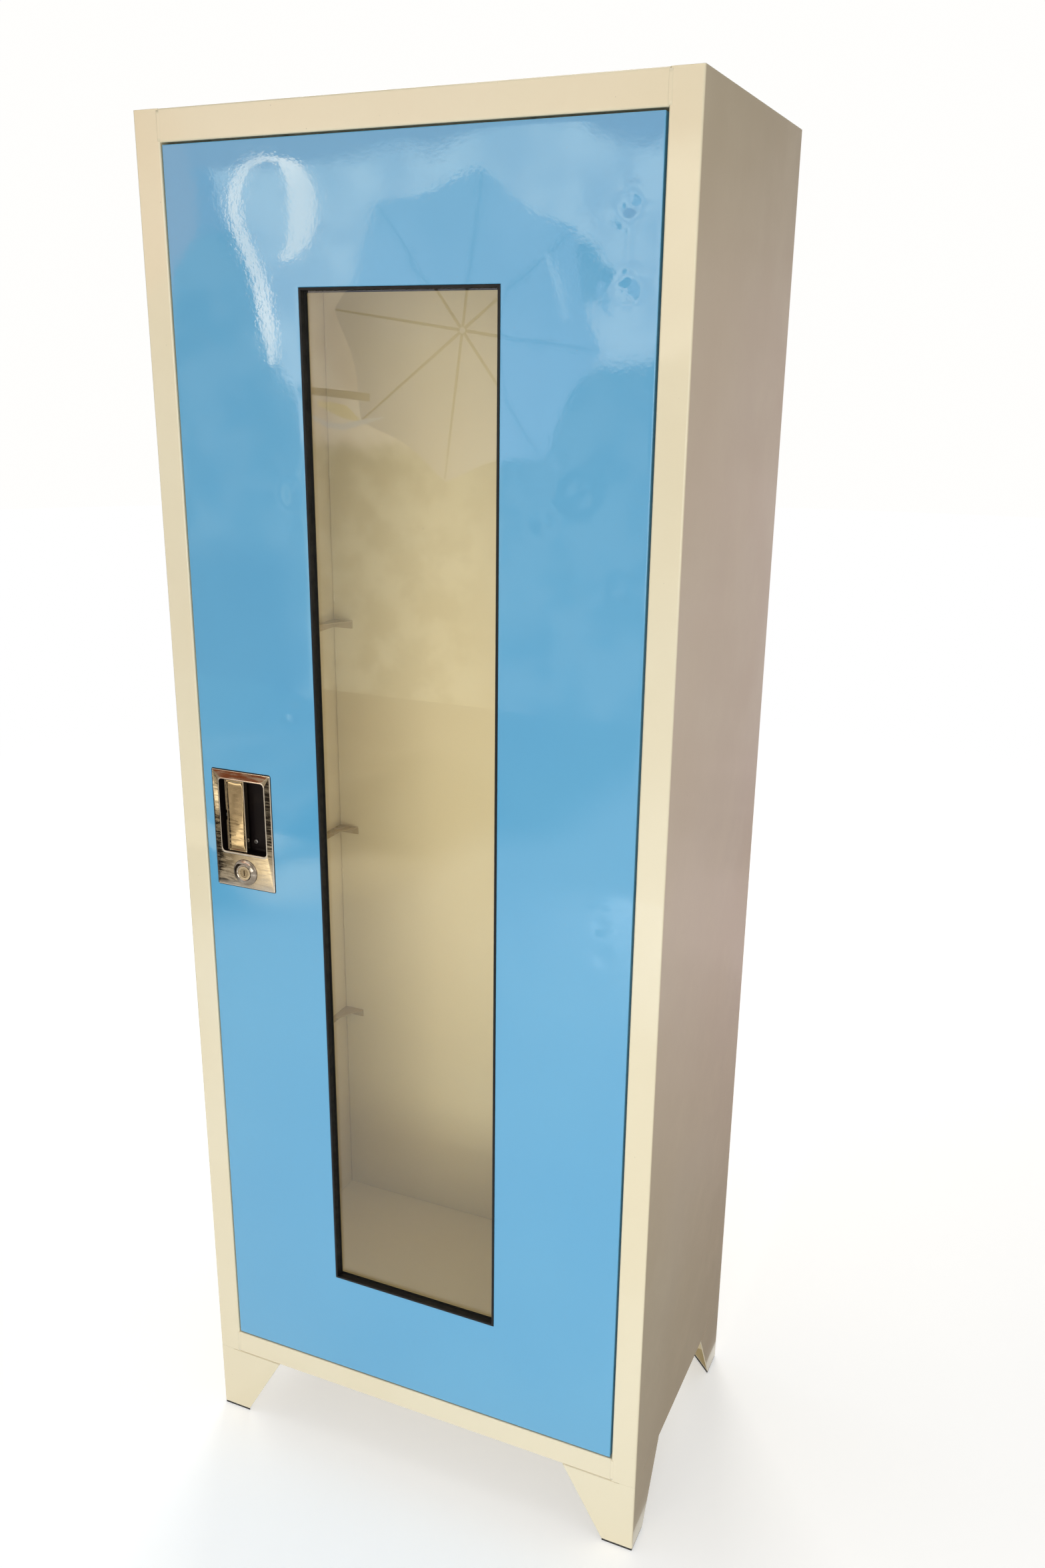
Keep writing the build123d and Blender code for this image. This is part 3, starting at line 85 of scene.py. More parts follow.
class Tree:
    """A node tree, with short calls for the nodes that the materials share."""

    def __init__(self, name, owners=bpy.data.materials):
        self.made = owners.new(name)
        self.made.use_nodes = True
        self.nodes = self.made.node_tree.nodes
        self.links = self.made.node_tree.links
        self.nodes.clear()
        self.coordinates = None

    @property
    def place(self):
        """The object's own coordinates."""
        if self.coordinates is None:
            self.coordinates = self.add("TexCoord").outputs["Object"]
        return self.coordinates

    def add(self, kind, inputs=None, **settings):
        """A node, with its inputs set or linked."""
        node = self.nodes.new("ShaderNode" + kind)
        for key, value in settings.items():
            setattr(node, key, value)
        for key, value in (inputs or {}).items():
            if isinstance(value, bpy.types.NodeSocket):
                self.links.new(value, node.inputs[key])
            else:
                node.inputs[key].default_value = value
        return node

    def parts(self):
        """The object's own coordinates, one by one."""
        return self.add("SeparateXYZ", {0: self.place}).outputs

    def away(self, *centre):
        """The distance from a place in the object's own coordinates."""
        offset = self.add("VectorMath", {0: self.place, 1: centre}, operation="SUBTRACT")
        length = self.add("VectorMath", {0: offset.outputs["Vector"]}, operation="LENGTH")
        return length.outputs["Value"]

    def noise(self, scale, detail=3.0, rough=0.5, place=None):
        inputs = {
            "Vector": place or self.place, "Scale": scale, "Detail": detail, "Roughness": rough
        }
        return self.add("TexNoise", inputs).outputs["Fac"]

    def sway(self, amount, *settings):
        """Noise on both sides of zero."""
        return self.product(self.total(self.noise(*settings), -0.5), amount)

    def ramp(self, value, low, high, to_low=0.0, to_high=1.0):
        inputs = {
            "Value": value, "From Min": low, "From Max": high,
            "To Min": to_low, "To Max": to_high,
        }
        return self.add("MapRange", inputs, interpolation_type="SMOOTHSTEP").outputs["Result"]

    def maths(self, operation, result, *others):
        """An operation on one value, or on the result so far and each value that follows."""
        for other in others or (0.0,):
            node = self.add("Math", {0: result, 1: other}, operation=operation)
            result = node.outputs["Value"]
        return result

    def product(self, *values):
        return self.maths("MULTIPLY", *values)

    def total(self, *values):
        return self.maths("ADD", *values)

    def size(self, value):
        return self.maths("ABSOLUTE", value)

    def patch(self, *ramps):
        """1 where every value is past its ramp, each given as a value, a start and an end."""
        return self.product(*[self.ramp(*ramp) for ramp in ramps])

    def mix(self, share, first, second):
        """A colour part of the way from one to another."""
        inputs = {0: share, 6: colour(first), 7: colour(second)}
        return self.add("Mix", inputs, data_type="RGBA").outputs[2]

    def mottled(self, first, second, scale, detail=3.0, rough=0.5, low=0.4, high=0.6):
        """Two colours in soft patches."""
        return self.mix(self.ramp(self.noise(scale, detail, rough), low, high), first, second)

    def bump(self, height, distance, normal):
        inputs = {"Height": height, "Distance": distance, "Strength": 1.0, "Normal": normal}
        return self.add("Bump", inputs).outputs["Normal"]

    def rounded(self, radius):
        """Normals that roll over the edges of a solid, as a real edge does."""
        return self.add("Bevel", {"Radius": radius}, samples=4).outputs["Normal"]

    def flat(self):
        return self.add("NewGeometry").outputs["Normal"]

    def flushed(self, rounded):
        """Rounded normals, but flat where the rails' ends were welded and ground flush."""
        parts = self.parts()
        beside = self.size(self.total(self.size(parts["X"]), -JOINT_X / METRE))
        near = self.maths("LESS_THAN", beside, JOINT_NEAR / METRE)
        height = self.size(self.total(parts["Z"], -DOOR_MIDDLE / METRE))
        past_door = self.maths("GREATER_THAN", height, JOINT_RISE / METRE)
        front = self.maths("LESS_THAN", parts["Y"], (FACE + 0.5) / METRE)
        inputs = {0: self.product(near, past_door, front), 4: rounded, 5: self.flat()}
        return self.add("Mix", inputs, data_type="VECTOR").outputs[1]

    def edges(self, rounded):
        """1 along outer edges, fading to 0 where the rounded normals are flat again."""
        dot = self.add("VectorMath", {0: rounded, 1: self.flat()}, operation="DOT_PRODUCT")
        return self.ramp(dot.outputs["Value"], 0.999, 0.90)

    def shown(self):
        """1 for rays from the camera, from gloss and through glass, and 0 for light."""
        rays = self.add("LightPath").outputs
        mirrored = self.maths("MAXIMUM", rays["Is Glossy Ray"], rays["Is Transmission Ray"])
        return self.maths("MAXIMUM", rays["Is Camera Ray"], mirrored)

    def shader(self, kind, **inputs):
        """A shader. Its settings are given as they are called, with _ for a space."""
        named = {key.replace("_", " "): colour(value) for key, value in inputs.items()}
        return self.add(kind, named).outputs[0]

    def principled(self, **inputs):
        return self.shader("BsdfPrincipled", **inputs)

    def glow(self, tone):
        return self.shader("Emission", Color=tone, Strength=1.0)

    def surface(self, shader, other=None, share=0.0):
        """The finished material: a shader, or a share of the way from it to another."""
        if other is not None:
            shader = self.add("MixShader", {0: share, 1: shader, 2: other}).outputs[0]
        self.add("OutputMaterial", {"Surface": shader})
        return self.made


# --- finishes
# Radii that the normals roll over, and the orange peel's noise: its scale and its height.
ENAMEL_EDGE, PLATED_EDGE, MOULDED_EDGE = 0.0009, 0.0005, 0.0004
ORANGE_PEEL = ((110.0, 0.000024), (330.0, 0.000013))


def enamel(name, fresh, faded, worn, rough, wave, smear=0.10):
    """Sprayed gloss enamel: faint orange peel, softly uneven sheet under it, worn fold lines."""
    t = Tree(name)
    tone = t.mottled(fresh, faded, 2.6, 2.0, 0.5, 0.35, 0.70)
    specks = t.ramp(t.noise(260.0, 2.0, 0.6), 0.76, 0.80, 0.0, 0.5)
    tone = t.mix(specks, tone, scaled(worn, 0.45))
    soft = t.flushed(t.rounded(ENAMEL_EDGE))
    chips = t.ramp(t.noise(75.0, 4.0, 0.65), 0.56, 0.66)
    worn_edge = t.product(t.edges(soft), chips)
    tone = t.mix(t.product(worn_edge, 0.45), tone, worn)
    roughness = t.ramp(t.noise(9.0, 4.0, 0.62), 0.3, 0.75, rough, rough + smear)
    roughness = t.total(roughness, t.product(worn_edge, 0.25))
    normal = t.bump(t.noise(5.0, 1.5), wave, soft)
    for scale, height in ORANGE_PEEL:
        normal = t.bump(t.noise(scale, 1.0), height, normal)
    return t.surface(t.principled(
        Base_Color=tone, Roughness=roughness, Normal=normal, IOR=1.5, Coat_Weight=0.4,
        Coat_Roughness=0.02,
    ))


def plated(name, bright, tarnish, rough, grain, swell):
    """Bright plated metal with wiping marks, fine scratches and a little tarnish."""
    t = Tree(name)
    metal = t.mottled(bright, tarnish, 28.0, 4.0, 0.6, 0.40, 0.72)
    along = t.add("Mapping", {"Vector": t.place, "Scale": (1.0, 1.0, 6.0)})
    wipes = t.noise(60.0, 3.0, 0.55, along.outputs["Vector"])
    roughness = t.ramp(wipes, 0.35, 0.70, rough, rough + 0.12)
    normal = t.bump(t.noise(grain, 2.0, 0.6), 0.000004, t.rounded(PLATED_EDGE))
    normal = t.bump(t.noise(40.0, 1.0), swell, normal)
    return t.surface(t.principled(
        Base_Color=metal, Roughness=roughness, Normal=normal, Metallic=1.0
    ))


def moulded(name, clean, dust, rough, grain, gloss=0.5):
    """Rubber, nylon, lacquer or ferrite: a fine grain, a little dust, softened edges."""
    t = Tree(name)
    body = t.mottled(clean, dust, 35.0, 5.0, 0.65, 0.48, 0.80)
    roughness = t.ramp(t.noise(90.0, 2.0), 0.3, 0.7, rough, rough + 0.15)
    normal = t.bump(t.noise(grain, 3.0, 0.7), 0.00003, t.rounded(MOULDED_EDGE))
    return t.surface(t.principled(
        Base_Color=body, Roughness=roughness, Normal=normal, IOR=1.48, Specular_IOR_Level=gloss
    ))


def window_pane(name, tint):
    """Faintly bronze sheet glass. Lamps shine through it, so it throws only a pale shadow."""
    t = Tree(name)
    smear = t.ramp(t.noise(7.0, 4.0, 0.6), 0.45, 0.80, 0.0, 0.05)
    glass = t.principled(Base_Color=tint, Roughness=smear, IOR=1.5, Transmission_Weight=1.0)
    rays = t.add("LightPath").outputs
    through = t.maths("MAXIMUM", rays["Is Shadow Ray"], rays["Is Diffuse Ray"])
    return t.surface(glass, t.shader("BsdfTransparent", Color=tint), through)


CREAM = enamel(
    "cream_enamel", (0.80, 0.69, 0.47), (0.83, 0.73, 0.52), (0.62, 0.50, 0.33), 0.16, 0.0011
)
# The shelf seats' enamel is the cream made darker and browner. This is painted shade, for the
# shade that falls on the seats inside the cabinet.
SHADED_SEAT = enamel(
    "seat_enamel_painted_shade", (0.52, 0.40, 0.23), (0.58, 0.46, 0.29), (0.34, 0.25, 0.14), 0.22, 0.0006
)
BLUE = enamel(
    "blue_enamel", (0.115, 0.39, 0.62), (0.13, 0.41, 0.63), (0.40, 0.66, 0.80), 0.012, 0.0002,
    0.05,
)
CHROME = plated("chrome_plate", (0.58, 0.51, 0.41), (0.48, 0.41, 0.31), 0.04, 300.0, 0.00005)
FLAP = plated("flap_plate", (0.54, 0.44, 0.31), (0.46, 0.37, 0.25), 0.02, 300.0, 0.00002)
# The bezel's plating is made dark. This is a painted reflection, standing in for the dark
# surroundings that its chrome would mirror.
BEZEL_PAINTED_REFLECTION = plated("bezel_plate_painted_reflection", (0.34, 0.29, 0.23), (0.20, 0.16, 0.12), 0.07, 300.0, 0.00005)
STEEL = plated("dull_steel", (0.22, 0.21, 0.20), (0.12, 0.11, 0.10), 0.34, 900.0, 0.00002)
ZINC = plated("zinc_plate", (0.60, 0.61, 0.61), (0.48, 0.46, 0.40), 0.28, 900.0, 0.00002)
BRASS = plated("key_brass", (0.42, 0.33, 0.21), (0.26, 0.19, 0.12), 0.22, 700.0, 0.00002)
LACQUER = moulded(
    "dark_lacquer", (0.006, 0.004, 0.004), (0.012, 0.008, 0.006), 0.30, 500.0, 0.12
)
GASKET = moulded(
    "gasket_rubber", (0.006, 0.006, 0.006), (0.016, 0.013, 0.010), 0.36, 900.0, 0.25
)
BUFFER = moulded("buffer_rubber", (0.022, 0.021, 0.020), (0.06, 0.055, 0.045), 0.60, 700.0)
NYLON = moulded("nylon", (0.72, 0.69, 0.60), (0.55, 0.51, 0.42), 0.40, 500.0)
FERRITE = moulded("ferrite", (0.05, 0.05, 0.052), (0.10, 0.095, 0.09), 0.50, 1200.0)
PANE = window_pane("bronze_glass", (0.97, 0.95, 0.87))

FINISHES = {
    "cream_paint": CREAM, "blue_paint": BLUE, "chrome": CHROME, "zinc_steel": ZINC,
    "gasket_rubber": GASKET, "buffer_rubber": BUFFER, "bronze_glass": PANE, "nylon": NYLON,
    "ferrite": FERRITE,
}
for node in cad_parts.values():
    for holder in node.material_slots:
        holder.material = FINISHES[holder.material.name]
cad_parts["key_plug"].material_slots[0].material = BRASS
# The shelf seats take the darker enamel, which is painted shade.
for level in ("lower", "middle", "upper"):
    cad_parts[level + "_shelf_seats"].material_slots[0].material = SHADED_SEAT


# --- mesh helpers
def new_thing(name, mesh_source, material=None):
    """An object with the faces of a bmesh, which is used up."""
    mesh = bpy.data.meshes.new(name)
    mesh_source.to_mesh(mesh)
    mesh_source.free()
    if material is not None:
        mesh.materials.append(material)
    thing = bpy.data.objects.new(name, mesh)
    bpy.context.scene.collection.objects.link(thing)
    return thing


def piece(name, mesh_source, material, body, replaces=()):
    """A piece from a bmesh in millimetres."""
    bmesh.ops.scale(mesh_source, vec=(1 / METRE,) * 3, verts=mesh_source.verts)
    thing = new_thing(name, mesh_source, material)
    for face in thing.data.polygons:
        face.use_smooth = True
    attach(thing, body)
    if replaces:
        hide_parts(*replaces)
    return thing


def modifier(thing, kind, **settings):
    made = thing.modifiers.new(kind.lower(), kind)
    for key, value in settings.items():
        setattr(made, key, value)


def smooth_shading(thing):
    modifier(thing, "WEIGHTED_NORMAL", mode="FACE_AREA", weight=50, keep_sharp=True)


def outward(mesh):
    """Turns a closed mesh's faces outwards."""
    bmesh.ops.recalc_face_normals(mesh, faces=mesh.faces)


def forward(mesh, choose):
    """Turns an open shell's faces forward, judged by its foremost (min) or hindmost (max)."""
    outward(mesh)
    mesh.normal_update()
    if choose(mesh.faces, key=lambda face: face.calc_center_median().y).normal.y > 0:
        bmesh.ops.reverse_faces(mesh, faces=mesh.faces)


def grid_lines(low, high, cuts, pitch):
    """Lines from low to high, through every cut, about a pitch apart."""
    marks = sorted({low, high, *cuts})
    lines = [low]
    for start, end in zip(marks, marks[1:]):
        count = max(1, round((end - start) / pitch))
        lines += [start + (end - start) * (step + 1) / count for step in range(count)]
    return lines


def fade(distance, width):
    """0 at an edge, rising smoothly to 1 at a width from it."""
    share = min(1.0, max(0.0, distance / width))
    return share * share * (3 - 2 * share)


# --- door skin
GLASS_LAP = 5.0  # glass reaches this far past the opening in the skin
CUTOUT_INSET = 7.0  # edge of the lock's cut-out inside the face plate's edge
WINDOW_TURN = 6.0
PAN_LIP = 12.0
SLOT_CLEAR = 1.0  # round a bolt in its slot
ARM_HALF = 12.0  # half the height of a hinge's arm
ARM_CLEAR = 3.0  # above and below a hinge's arm in the door's lip
SKIN_PITCH = 6.5  # about the size of the skin's faces
CUT_SPACE = 0.6  # cuts nearer to each other than this are one
CALM = 30.0  # the skin's waves die out this far from its edges
WAVES = [(0.17, 150, 210, 4.7), (0.02, 48, 64, 9.2)]  # depth, length each way, seed

# Shallow marks in the skin, over the spot welds of the channels and where it was knocked:
# across and up from the door's lower left corner, radius, depth.
DENTS = [
    (567, 1560, 9, 0.42), (566, 1481, 10, 0.48), (477, 1246, 12, 0.30), (521, 1276, 15, 0.34),
    (564, 738, 12, 0.40), (560, 777, 10, 0.30), (143, 993, 12, 0.34), (156, 1261, 12, 0.30),
    (566, 1180, 9, 0.22), (570, 420, 10, 0.26), (455, 700, 14, 0.26), (140, 560, 13, 0.26),
]

# A pulled ridge between the two upper marks by the hinge: across, from, to, height, width.
RIDGE = (566.5, 1488.0, 1553.0, 0.07, 3.2)
RIDGE_PITCH = 2.5
RIDGE_COLUMNS, RIDGE_ROWS = range(-6, 7), range(-9, 38)


def opening(low, high, inset):
    """Low x, high x, low z and high z inside a box."""
    return (low.x + inset, high.x - inset, low.z + inset, high.z - inset)


def within(place, limits, margin=0.0):
    """Whether a place lies inside an opening, or past its edge by less than a margin."""
    low_x, high_x, low_z, high_z = limits
    return (
        low_x - margin < place.x < high_x + margin and low_z - margin < place.z < high_z + margin
    )


PAN = opening(PAN_LOW, PAN_HIGH, 0.0)
WINDOW = opening(GLASS_LOW, GLASS_HIGH, GLASS_LAP)
CUTOUT = opening(PLATE_LOW, PLATE_HIGH, CUTOUT_INSET)


def skin_depth(x, z):
    """How far the door's skin lies behind its flat, with its waves and dents."""
    near = [x - PAN_LOW.x, PAN_HIGH.x - x, z - PAN_LOW.z, PAN_HIGH.z - z]
    for low_x, high_x, low_z, high_z in (WINDOW, CUTOUT):
        out_x = max(low_x - x, x - high_x, 0.0)
        out_z = max(low_z - z, z - high_z, 0.0)
        near.append(math.hypot(out_x, out_z))
    depth = fade(min(near), CALM) * sum(
        height * noise.noise(Vector((x / across, z / up, seed)))
        for height, across, up, seed in WAVES
    )
    for across, up, radius, deep in DENTS:
        reach = math.hypot(x - PAN_LOW.x - across, z - PAN_LOW.z - up) / radius
        if reach < 4.0:
            bowl = deep * (1 - reach * reach) * math.exp(-reach * reach / 2)
            uneven = 1 + 0.5 * noise.noise(Vector((x / 8, z / 8, radius)))
            depth += bowl * fade(min(near), 8.0) * uneven
    across, low, high, height, width = RIDGE
    up = z - PAN_LOW.z
    run = fade(up - low, 16.0) * fade(high - up, 16.0)
    return depth - height * run * math.exp(-((x - PAN_LOW.x - across) / width) ** 2)


def bolt_slots():
    """The boxes that the three bolts need clear in the door's turned edges."""
    room = Vector((SLOT_CLEAR,) * 3)
    slots = []
    for node, axis in (("top_lock_rod", 2), ("bottom_lock_rod", 2), ("side_bolt", 0)):
        low, high = box(node)
        low, high = low - room, high + room
        nearer = abs(PAN_LOW[axis] - low[axis]) < abs(PAN_HIGH[axis] - high[axis])
        low[axis] = high[axis] = PAN_LOW[axis] if nearer else PAN_HIGH[axis]
        slots.append((low, high))
    return slots


def hinge_arm_spans():
    """Heights between which the door's lip is open for each hinge's arm."""
    half = ARM_HALF + ARM_CLEAR
    leaves = [box(place + "_hinge_frame_leaf") for place in ("lower", "middle", "upper")]
    middles = [(low.z + high.z) / 2 for low, high in leaves]
    return [(middle - half, middle + half) for middle in middles]


def tidy_cuts(cuts, kept):
    """The cuts, less any that lie nearly on one that is kept or on one before."""
    lines = list(kept)
    for cut in sorted(cuts):
        if all(abs(cut - line) > CUT_SPACE for line in lines):
            lines.append(cut)
    return lines


def skin_face(skin, slots, arms):
    """The skin's waved face, in a grid with lines at every opening and finer by the ridge."""
    x_cuts = [corner.x for slot in slots for corner in slot]
    x_cuts += [PAN_LOW.x + RIDGE[0] + RIDGE_PITCH * step for step in RIDGE_COLUMNS]
    z_cuts = [corner.z for slot in slots for corner in slot]
    z_cuts += [PAN_LOW.z + RIDGE[1] + RIDGE_PITCH * step for step in RIDGE_ROWS]
    z_cuts += [edge for span in arms for edge in span]
    x_cuts = tidy_cuts(x_cuts, WINDOW[:2] + CUTOUT[:2])
    z_cuts = tidy_cuts(z_cuts, WINDOW[2:] + CUTOUT[2:])
    xs = grid_lines(PAN_LOW.x, PAN_HIGH.x, x_cuts, SKIN_PITCH)
    zs = grid_lines(PAN_LOW.z, PAN_HIGH.z, z_cuts, SKIN_PITCH)
    corners = {}

    def corner(column, row):
        if (column, row) not in corners:
            x, z = xs[column], zs[row]
            corners[column, row] = skin.verts.new((x, FACE + skin_depth(x, z), z))
        return corners[column, row]

    for column in range(len(xs) - 1):
        for row in range(len(zs) - 1):
            place = Vector((xs[column] + xs[column + 1], 0.0, zs[row] + zs[row + 1])) / 2
            if any(within(place, hole) for hole in (WINDOW, CUTOUT)):
                continue
            ring = [(column, row), (column + 1, row), (column + 1, row + 1), (column, row + 1)]
            skin.faces.new([corner(*mark) for mark in ring])


def by_window(edge):
    return all(within(vert.co, WINDOW, 1.0) for vert in edge.verts)


def turn_back(skin, edges, back):
    """Runs sheet back from edges to a depth behind the face: its far vertices and edges."""
    made = bmesh.ops.extrude_edge_only(skin, edges=edges)["geom"]
    verts = [item for item in made if isinstance(item, bmesh.types.BMVert)]
    for vert in verts:
        vert.co.y = FACE + back
    return verts, [item for item in made if isinstance(item, bmesh.types.BMEdge)]


def faces_where(skin, inside):
    """The faces whose middles are inside."""
    return [face for face in skin.faces if inside(face.calc_center_median())]


def door_skin():
    """The door pan: waved face, folded walls, lips, and the window's edge turned in."""
    slots, arms = bolt_slots(), hinge_arm_spans()
    skin = bmesh.new()
    skin_face(skin, slots, arms)
    rim = [edge for edge in skin.edges if edge.is_boundary]
    folded = [edge for edge in rim if not any(within(vert.co, PAN, -1.0) for vert in edge.verts)]
    sight = [edge for edge in rim if by_window(edge)]
    deep = PAN_HIGH.y - FACE
    levels = sorted({round(corner.y - FACE, 3) for slot in slots for corner in slot})
    for level in levels + [deep]:
        folded = [edge for edge in turn_back(skin, folded, level)[1] if edge.is_boundary]
    open_walls = faces_where(skin, lambda middle: middle.y > FACE + 0.5 and any(
        all(low[axis] - 0.7 < middle[axis] < high[axis] + 0.7 for axis in range(3))
        for low, high in slots
    ))
    lip = turn_back(skin, folded, deep)[0]
    bmesh.ops.delete(skin, geom=open_walls, context="FACES")
    for vert in lip:
        for axis, low, high in ((0, PAN_LOW.x, PAN_HIGH.x), (2, PAN_LOW.z, PAN_HIGH.z)):
            if abs(vert.co[axis] - low) < 0.01:
                vert.co[axis] += PAN_LIP
            elif abs(vert.co[axis] - high) < 0.01:
                vert.co[axis] -= PAN_LIP
    open_lip = faces_where(skin, lambda middle: (
        middle.y > FACE + deep - 0.5 and middle.x > PAN_HIGH.x - PAN_LIP
        and any(low < middle.z < high for low, high in arms)
    ))
    bmesh.ops.delete(skin, geom=open_lip, context="FACES")
    turn_back(skin, sight, WINDOW_TURN)
    forward(skin, min)
    weight = skin.edges.layers.float.new("bevel_weight_edge")
    for edge in skin.edges:
        if len(edge.link_faces) == 2 and edge.calc_face_angle() > 0.8:
            runs_back = abs(edge.verts[0].co.y - edge.verts[1].co.y) > 1
            edge[weight] = 0.0 if by_window(edge) and runs_back else 1.0
    door = piece("door_skin", skin, BLUE, "door", ["door_pan"])
    modifier(door, "BEVEL", width=FOLD / METRE, segments=4, limit_method="WEIGHT")
    modifier(door, "SOLIDIFY", thickness=SHEET / METRE, offset=-1.0)
    smooth_shading(door)


door_skin()


# --- loops and lofts
def rounded_loop(mesh, xs, zs, radius, y, arc=5, side=12):
    """A loop of vertices round a rectangle with rounded corners, anticlockwise from the front."""
    centres = [
        (xs[1] - radius, zs[0] + radius), (xs[1] - radius, zs[1] - radius),
        (xs[0] + radius, zs[1] - radius), (xs[0] + radius, zs[0] + radius),
    ]
    arcs = []
    for quarter, (x, z) in enumerate(centres):
        turn = [math.pi / 2 * (quarter - 1 + step / arc) for step in range(arc + 1)]
        arcs.append([(x + radius * math.cos(a), z + radius * math.sin(a)) for a in turn])
    points = []
    for here, after in zip(arcs, arcs[1:] + arcs[:1]):
        points += here
        (x0, z0), (x1, z1) = here[-1], after[0]
        for step in range(1, side):
            share = step / side
            points.append((x0 + (x1 - x0) * share, z0 + (z1 - z0) * share))
    return [mesh.verts.new((x, y, z)) for x, z in points]


def rims(mesh, xs, zs, profile, corner):
    """Rounded loops round a rectangle, one for each amount outwards and y of a profile."""
    return [
        rounded_loop(mesh, (xs[0] - out, xs[1] + out), (zs[0] - out, zs[1] + out), corner(out), y)
        for out, y in profile
    ]


def circle(mesh, sides, place):
    """A ring of vertices, each at the place for its turn's cosine and sine."""
    turns = [2 * math.pi * step / sides for step in range(sides)]
    return [mesh.verts.new(place(math.cos(turn), math.sin(turn))) for turn in turns]


def between(mesh, first, second, share):
    """A loop part of the way from one loop to another."""
    return [
        mesh.verts.new(start.co.lerp(end.co, share)) for start, end in zip(first, second)
    ]


def join(mesh, loops, closed=False, ends=False):
    """Faces between each loop and the next, and over the first and last where ends are asked."""
    pairs = list(zip(loops, loops[1:])) + ([(loops[-1], loops[0])] if closed else [])
    for here, after in pairs:
        count = len(here)
        for index in range(count):
            following = (index + 1) % count
            mesh.faces.new([here[index], here[following], after[following], after[index]])
    if ends:
        mesh.faces.new(loops[0])
        mesh.faces.new(loops[-1])


def tube(mesh, points, radii, sides=8):
    """A closed tube along points, each with its radius across and its radius proud."""
    rings = []
    for index, (point, (across, proud)) in enumerate(zip(points, radii)):
        ahead_of = points[min(index + 1, len(points) - 1)] - points[max(index - 1, 0)]
        out = Vector((0, -1, 0)) if abs(ahead_of.normalized().y) < 0.9 else Vector((1, 0, 0))
        sideways = ahead_of.cross(out).normalized()
        rings.append(circle(
            mesh, sides, lambda cos, sin: point + (sideways * across * cos + out * proud * sin)
        ))
    join(mesh, rings, ends=True)


def dressed(name, mesh, material, replaces, body="door"):
    """A closed piece with even shading."""
    outward(mesh)
    smooth_shading(piece(name, mesh, material, body, replaces))


# --- recessed handle
RECESS_RISE = 49.5  # recess above the plate's lower edge
RECESS_HEIGHT = 100.0
RECESS_WIDTH = 69.0
RECESS_CORNER = 4.5
PLATE_CORNER = 1.2
TAPE_IN = 10.3  # from the glass's edge to the tape's inner edge
PLATE_MIDDLE = (PLATE_LOW.x + PLATE_HIGH.x) / 2
PLATE_XS = (PLATE_LOW.x, PLATE_HIGH.x)
PLATE_ZS = (PLATE_LOW.z, PLATE_HIGH.z)
RECESS_XS = (PLATE_MIDDLE - RECESS_WIDTH / 2, PLATE_MIDDLE + RECESS_WIDTH / 2)
RECESS_ZS = (PLATE_LOW.z + RECESS_RISE, PLATE_LOW.z + RECESS_RISE + RECESS_HEIGHT)
PLATE_FRONT = PLATE_LOW.y
CUP_FLOOR = PLATE_HIGH.y - SHEET


def handle_plate():
    """The plated surround: rolled outer edge, face rising to a fine bead round the recess."""
    plate = bmesh.new()
    outer = [(-0.8, FACE), (0.0, FACE), (0.0, FACE - 0.5), (-0.15, FACE - 0.9),
             (-0.5, FACE - 1.2), (-1.0, FACE - 1.33)]
    inner = [(1.5, PLATE_FRONT - 0.55), (1.2, PLATE_FRONT - 0.80), (0.8, PLATE_FRONT - 0.90),
             (0.4, PLATE_FRONT - 0.78), (0.1, PLATE_FRONT - 0.40), (0.0, FACE - 0.4),
             (0.0, FACE)]
    edge = rims(plate, PLATE_XS, PLATE_ZS, outer, lambda out: PLATE_CORNER)
    bead = rims(plate, RECESS_XS, RECESS_ZS, inner, lambda out: RECESS_CORNER + out)
    face = [between(plate, edge[-1], bead[0], share) for share in (0.2, 0.4, 0.6, 0.8, 0.95)]
    join(plate, edge + face + bead, closed=True)
    dressed("handle_plate", plate, CHROME, ["handle_housing"])


def handle_cup():
    """The dark finger recess, pressed with a rounded floor."""
    cup = bmesh.new()
    profile = [(0.0, FACE - 0.4), (0.0, FACE + 4.0), (0.0, CUP_FLOOR - 4.0),
               (-0.3, CUP_FLOOR - 2.2), (-1.2, CUP_FLOOR - 0.8), (-2.6, CUP_FLOOR - 0.15),
               (-4.5, CUP_FLOOR)]
    loops = rims(cup, RECESS_XS, RECESS_ZS, profile, lambda out: max(RECESS_CORNER + out, 1.5))
    join(cup, loops)
    cup.faces.new(loops[-1])
    forward(cup, max)
    made = piece("handle_cup", cup, LACQUER, "door", ["handle_housing"])
    modifier(made, "SOLIDIFY", thickness=0.9 * SHEET / METRE, offset=-1.0)
    smooth_shading(made)


def glass_tape():
    """The black setting tape between the glass and its retainers."""
    tape = bmesh.new()
    back = GLASS_HIGH.y
    profile = [(-1.0, back - 0.2), (-TAPE_IN, back - 0.2), (-TAPE_IN, back - 0.05),
               (-1.0, back - 0.05)]
    xs, zs = (GLASS_LOW.x, GLASS_HIGH.x), (GLASS_LOW.z, GLASS_HIGH.z)
    join(tape, rims(tape, xs, zs, profile, lambda out: 0.6), closed=True)
    outward(tape)
    piece("glass_tape", tape, GASKET, "door")


def plate_gasket():
    """The thin black seal that shows round the plate."""
    seal = bmesh.new()
    profile = [(-1.5, FACE + 0.02), (0.9, FACE + 0.02), (0.9, FACE - 0.3), (0.5, FACE - 0.5),
               (-1.5, FACE - 0.5)]
    join(seal, rims(seal, PLATE_XS, PLATE_ZS, profile, lambda out: 2.0 + out), closed=True)
    dressed("plate_gasket", seal, GASKET, ())


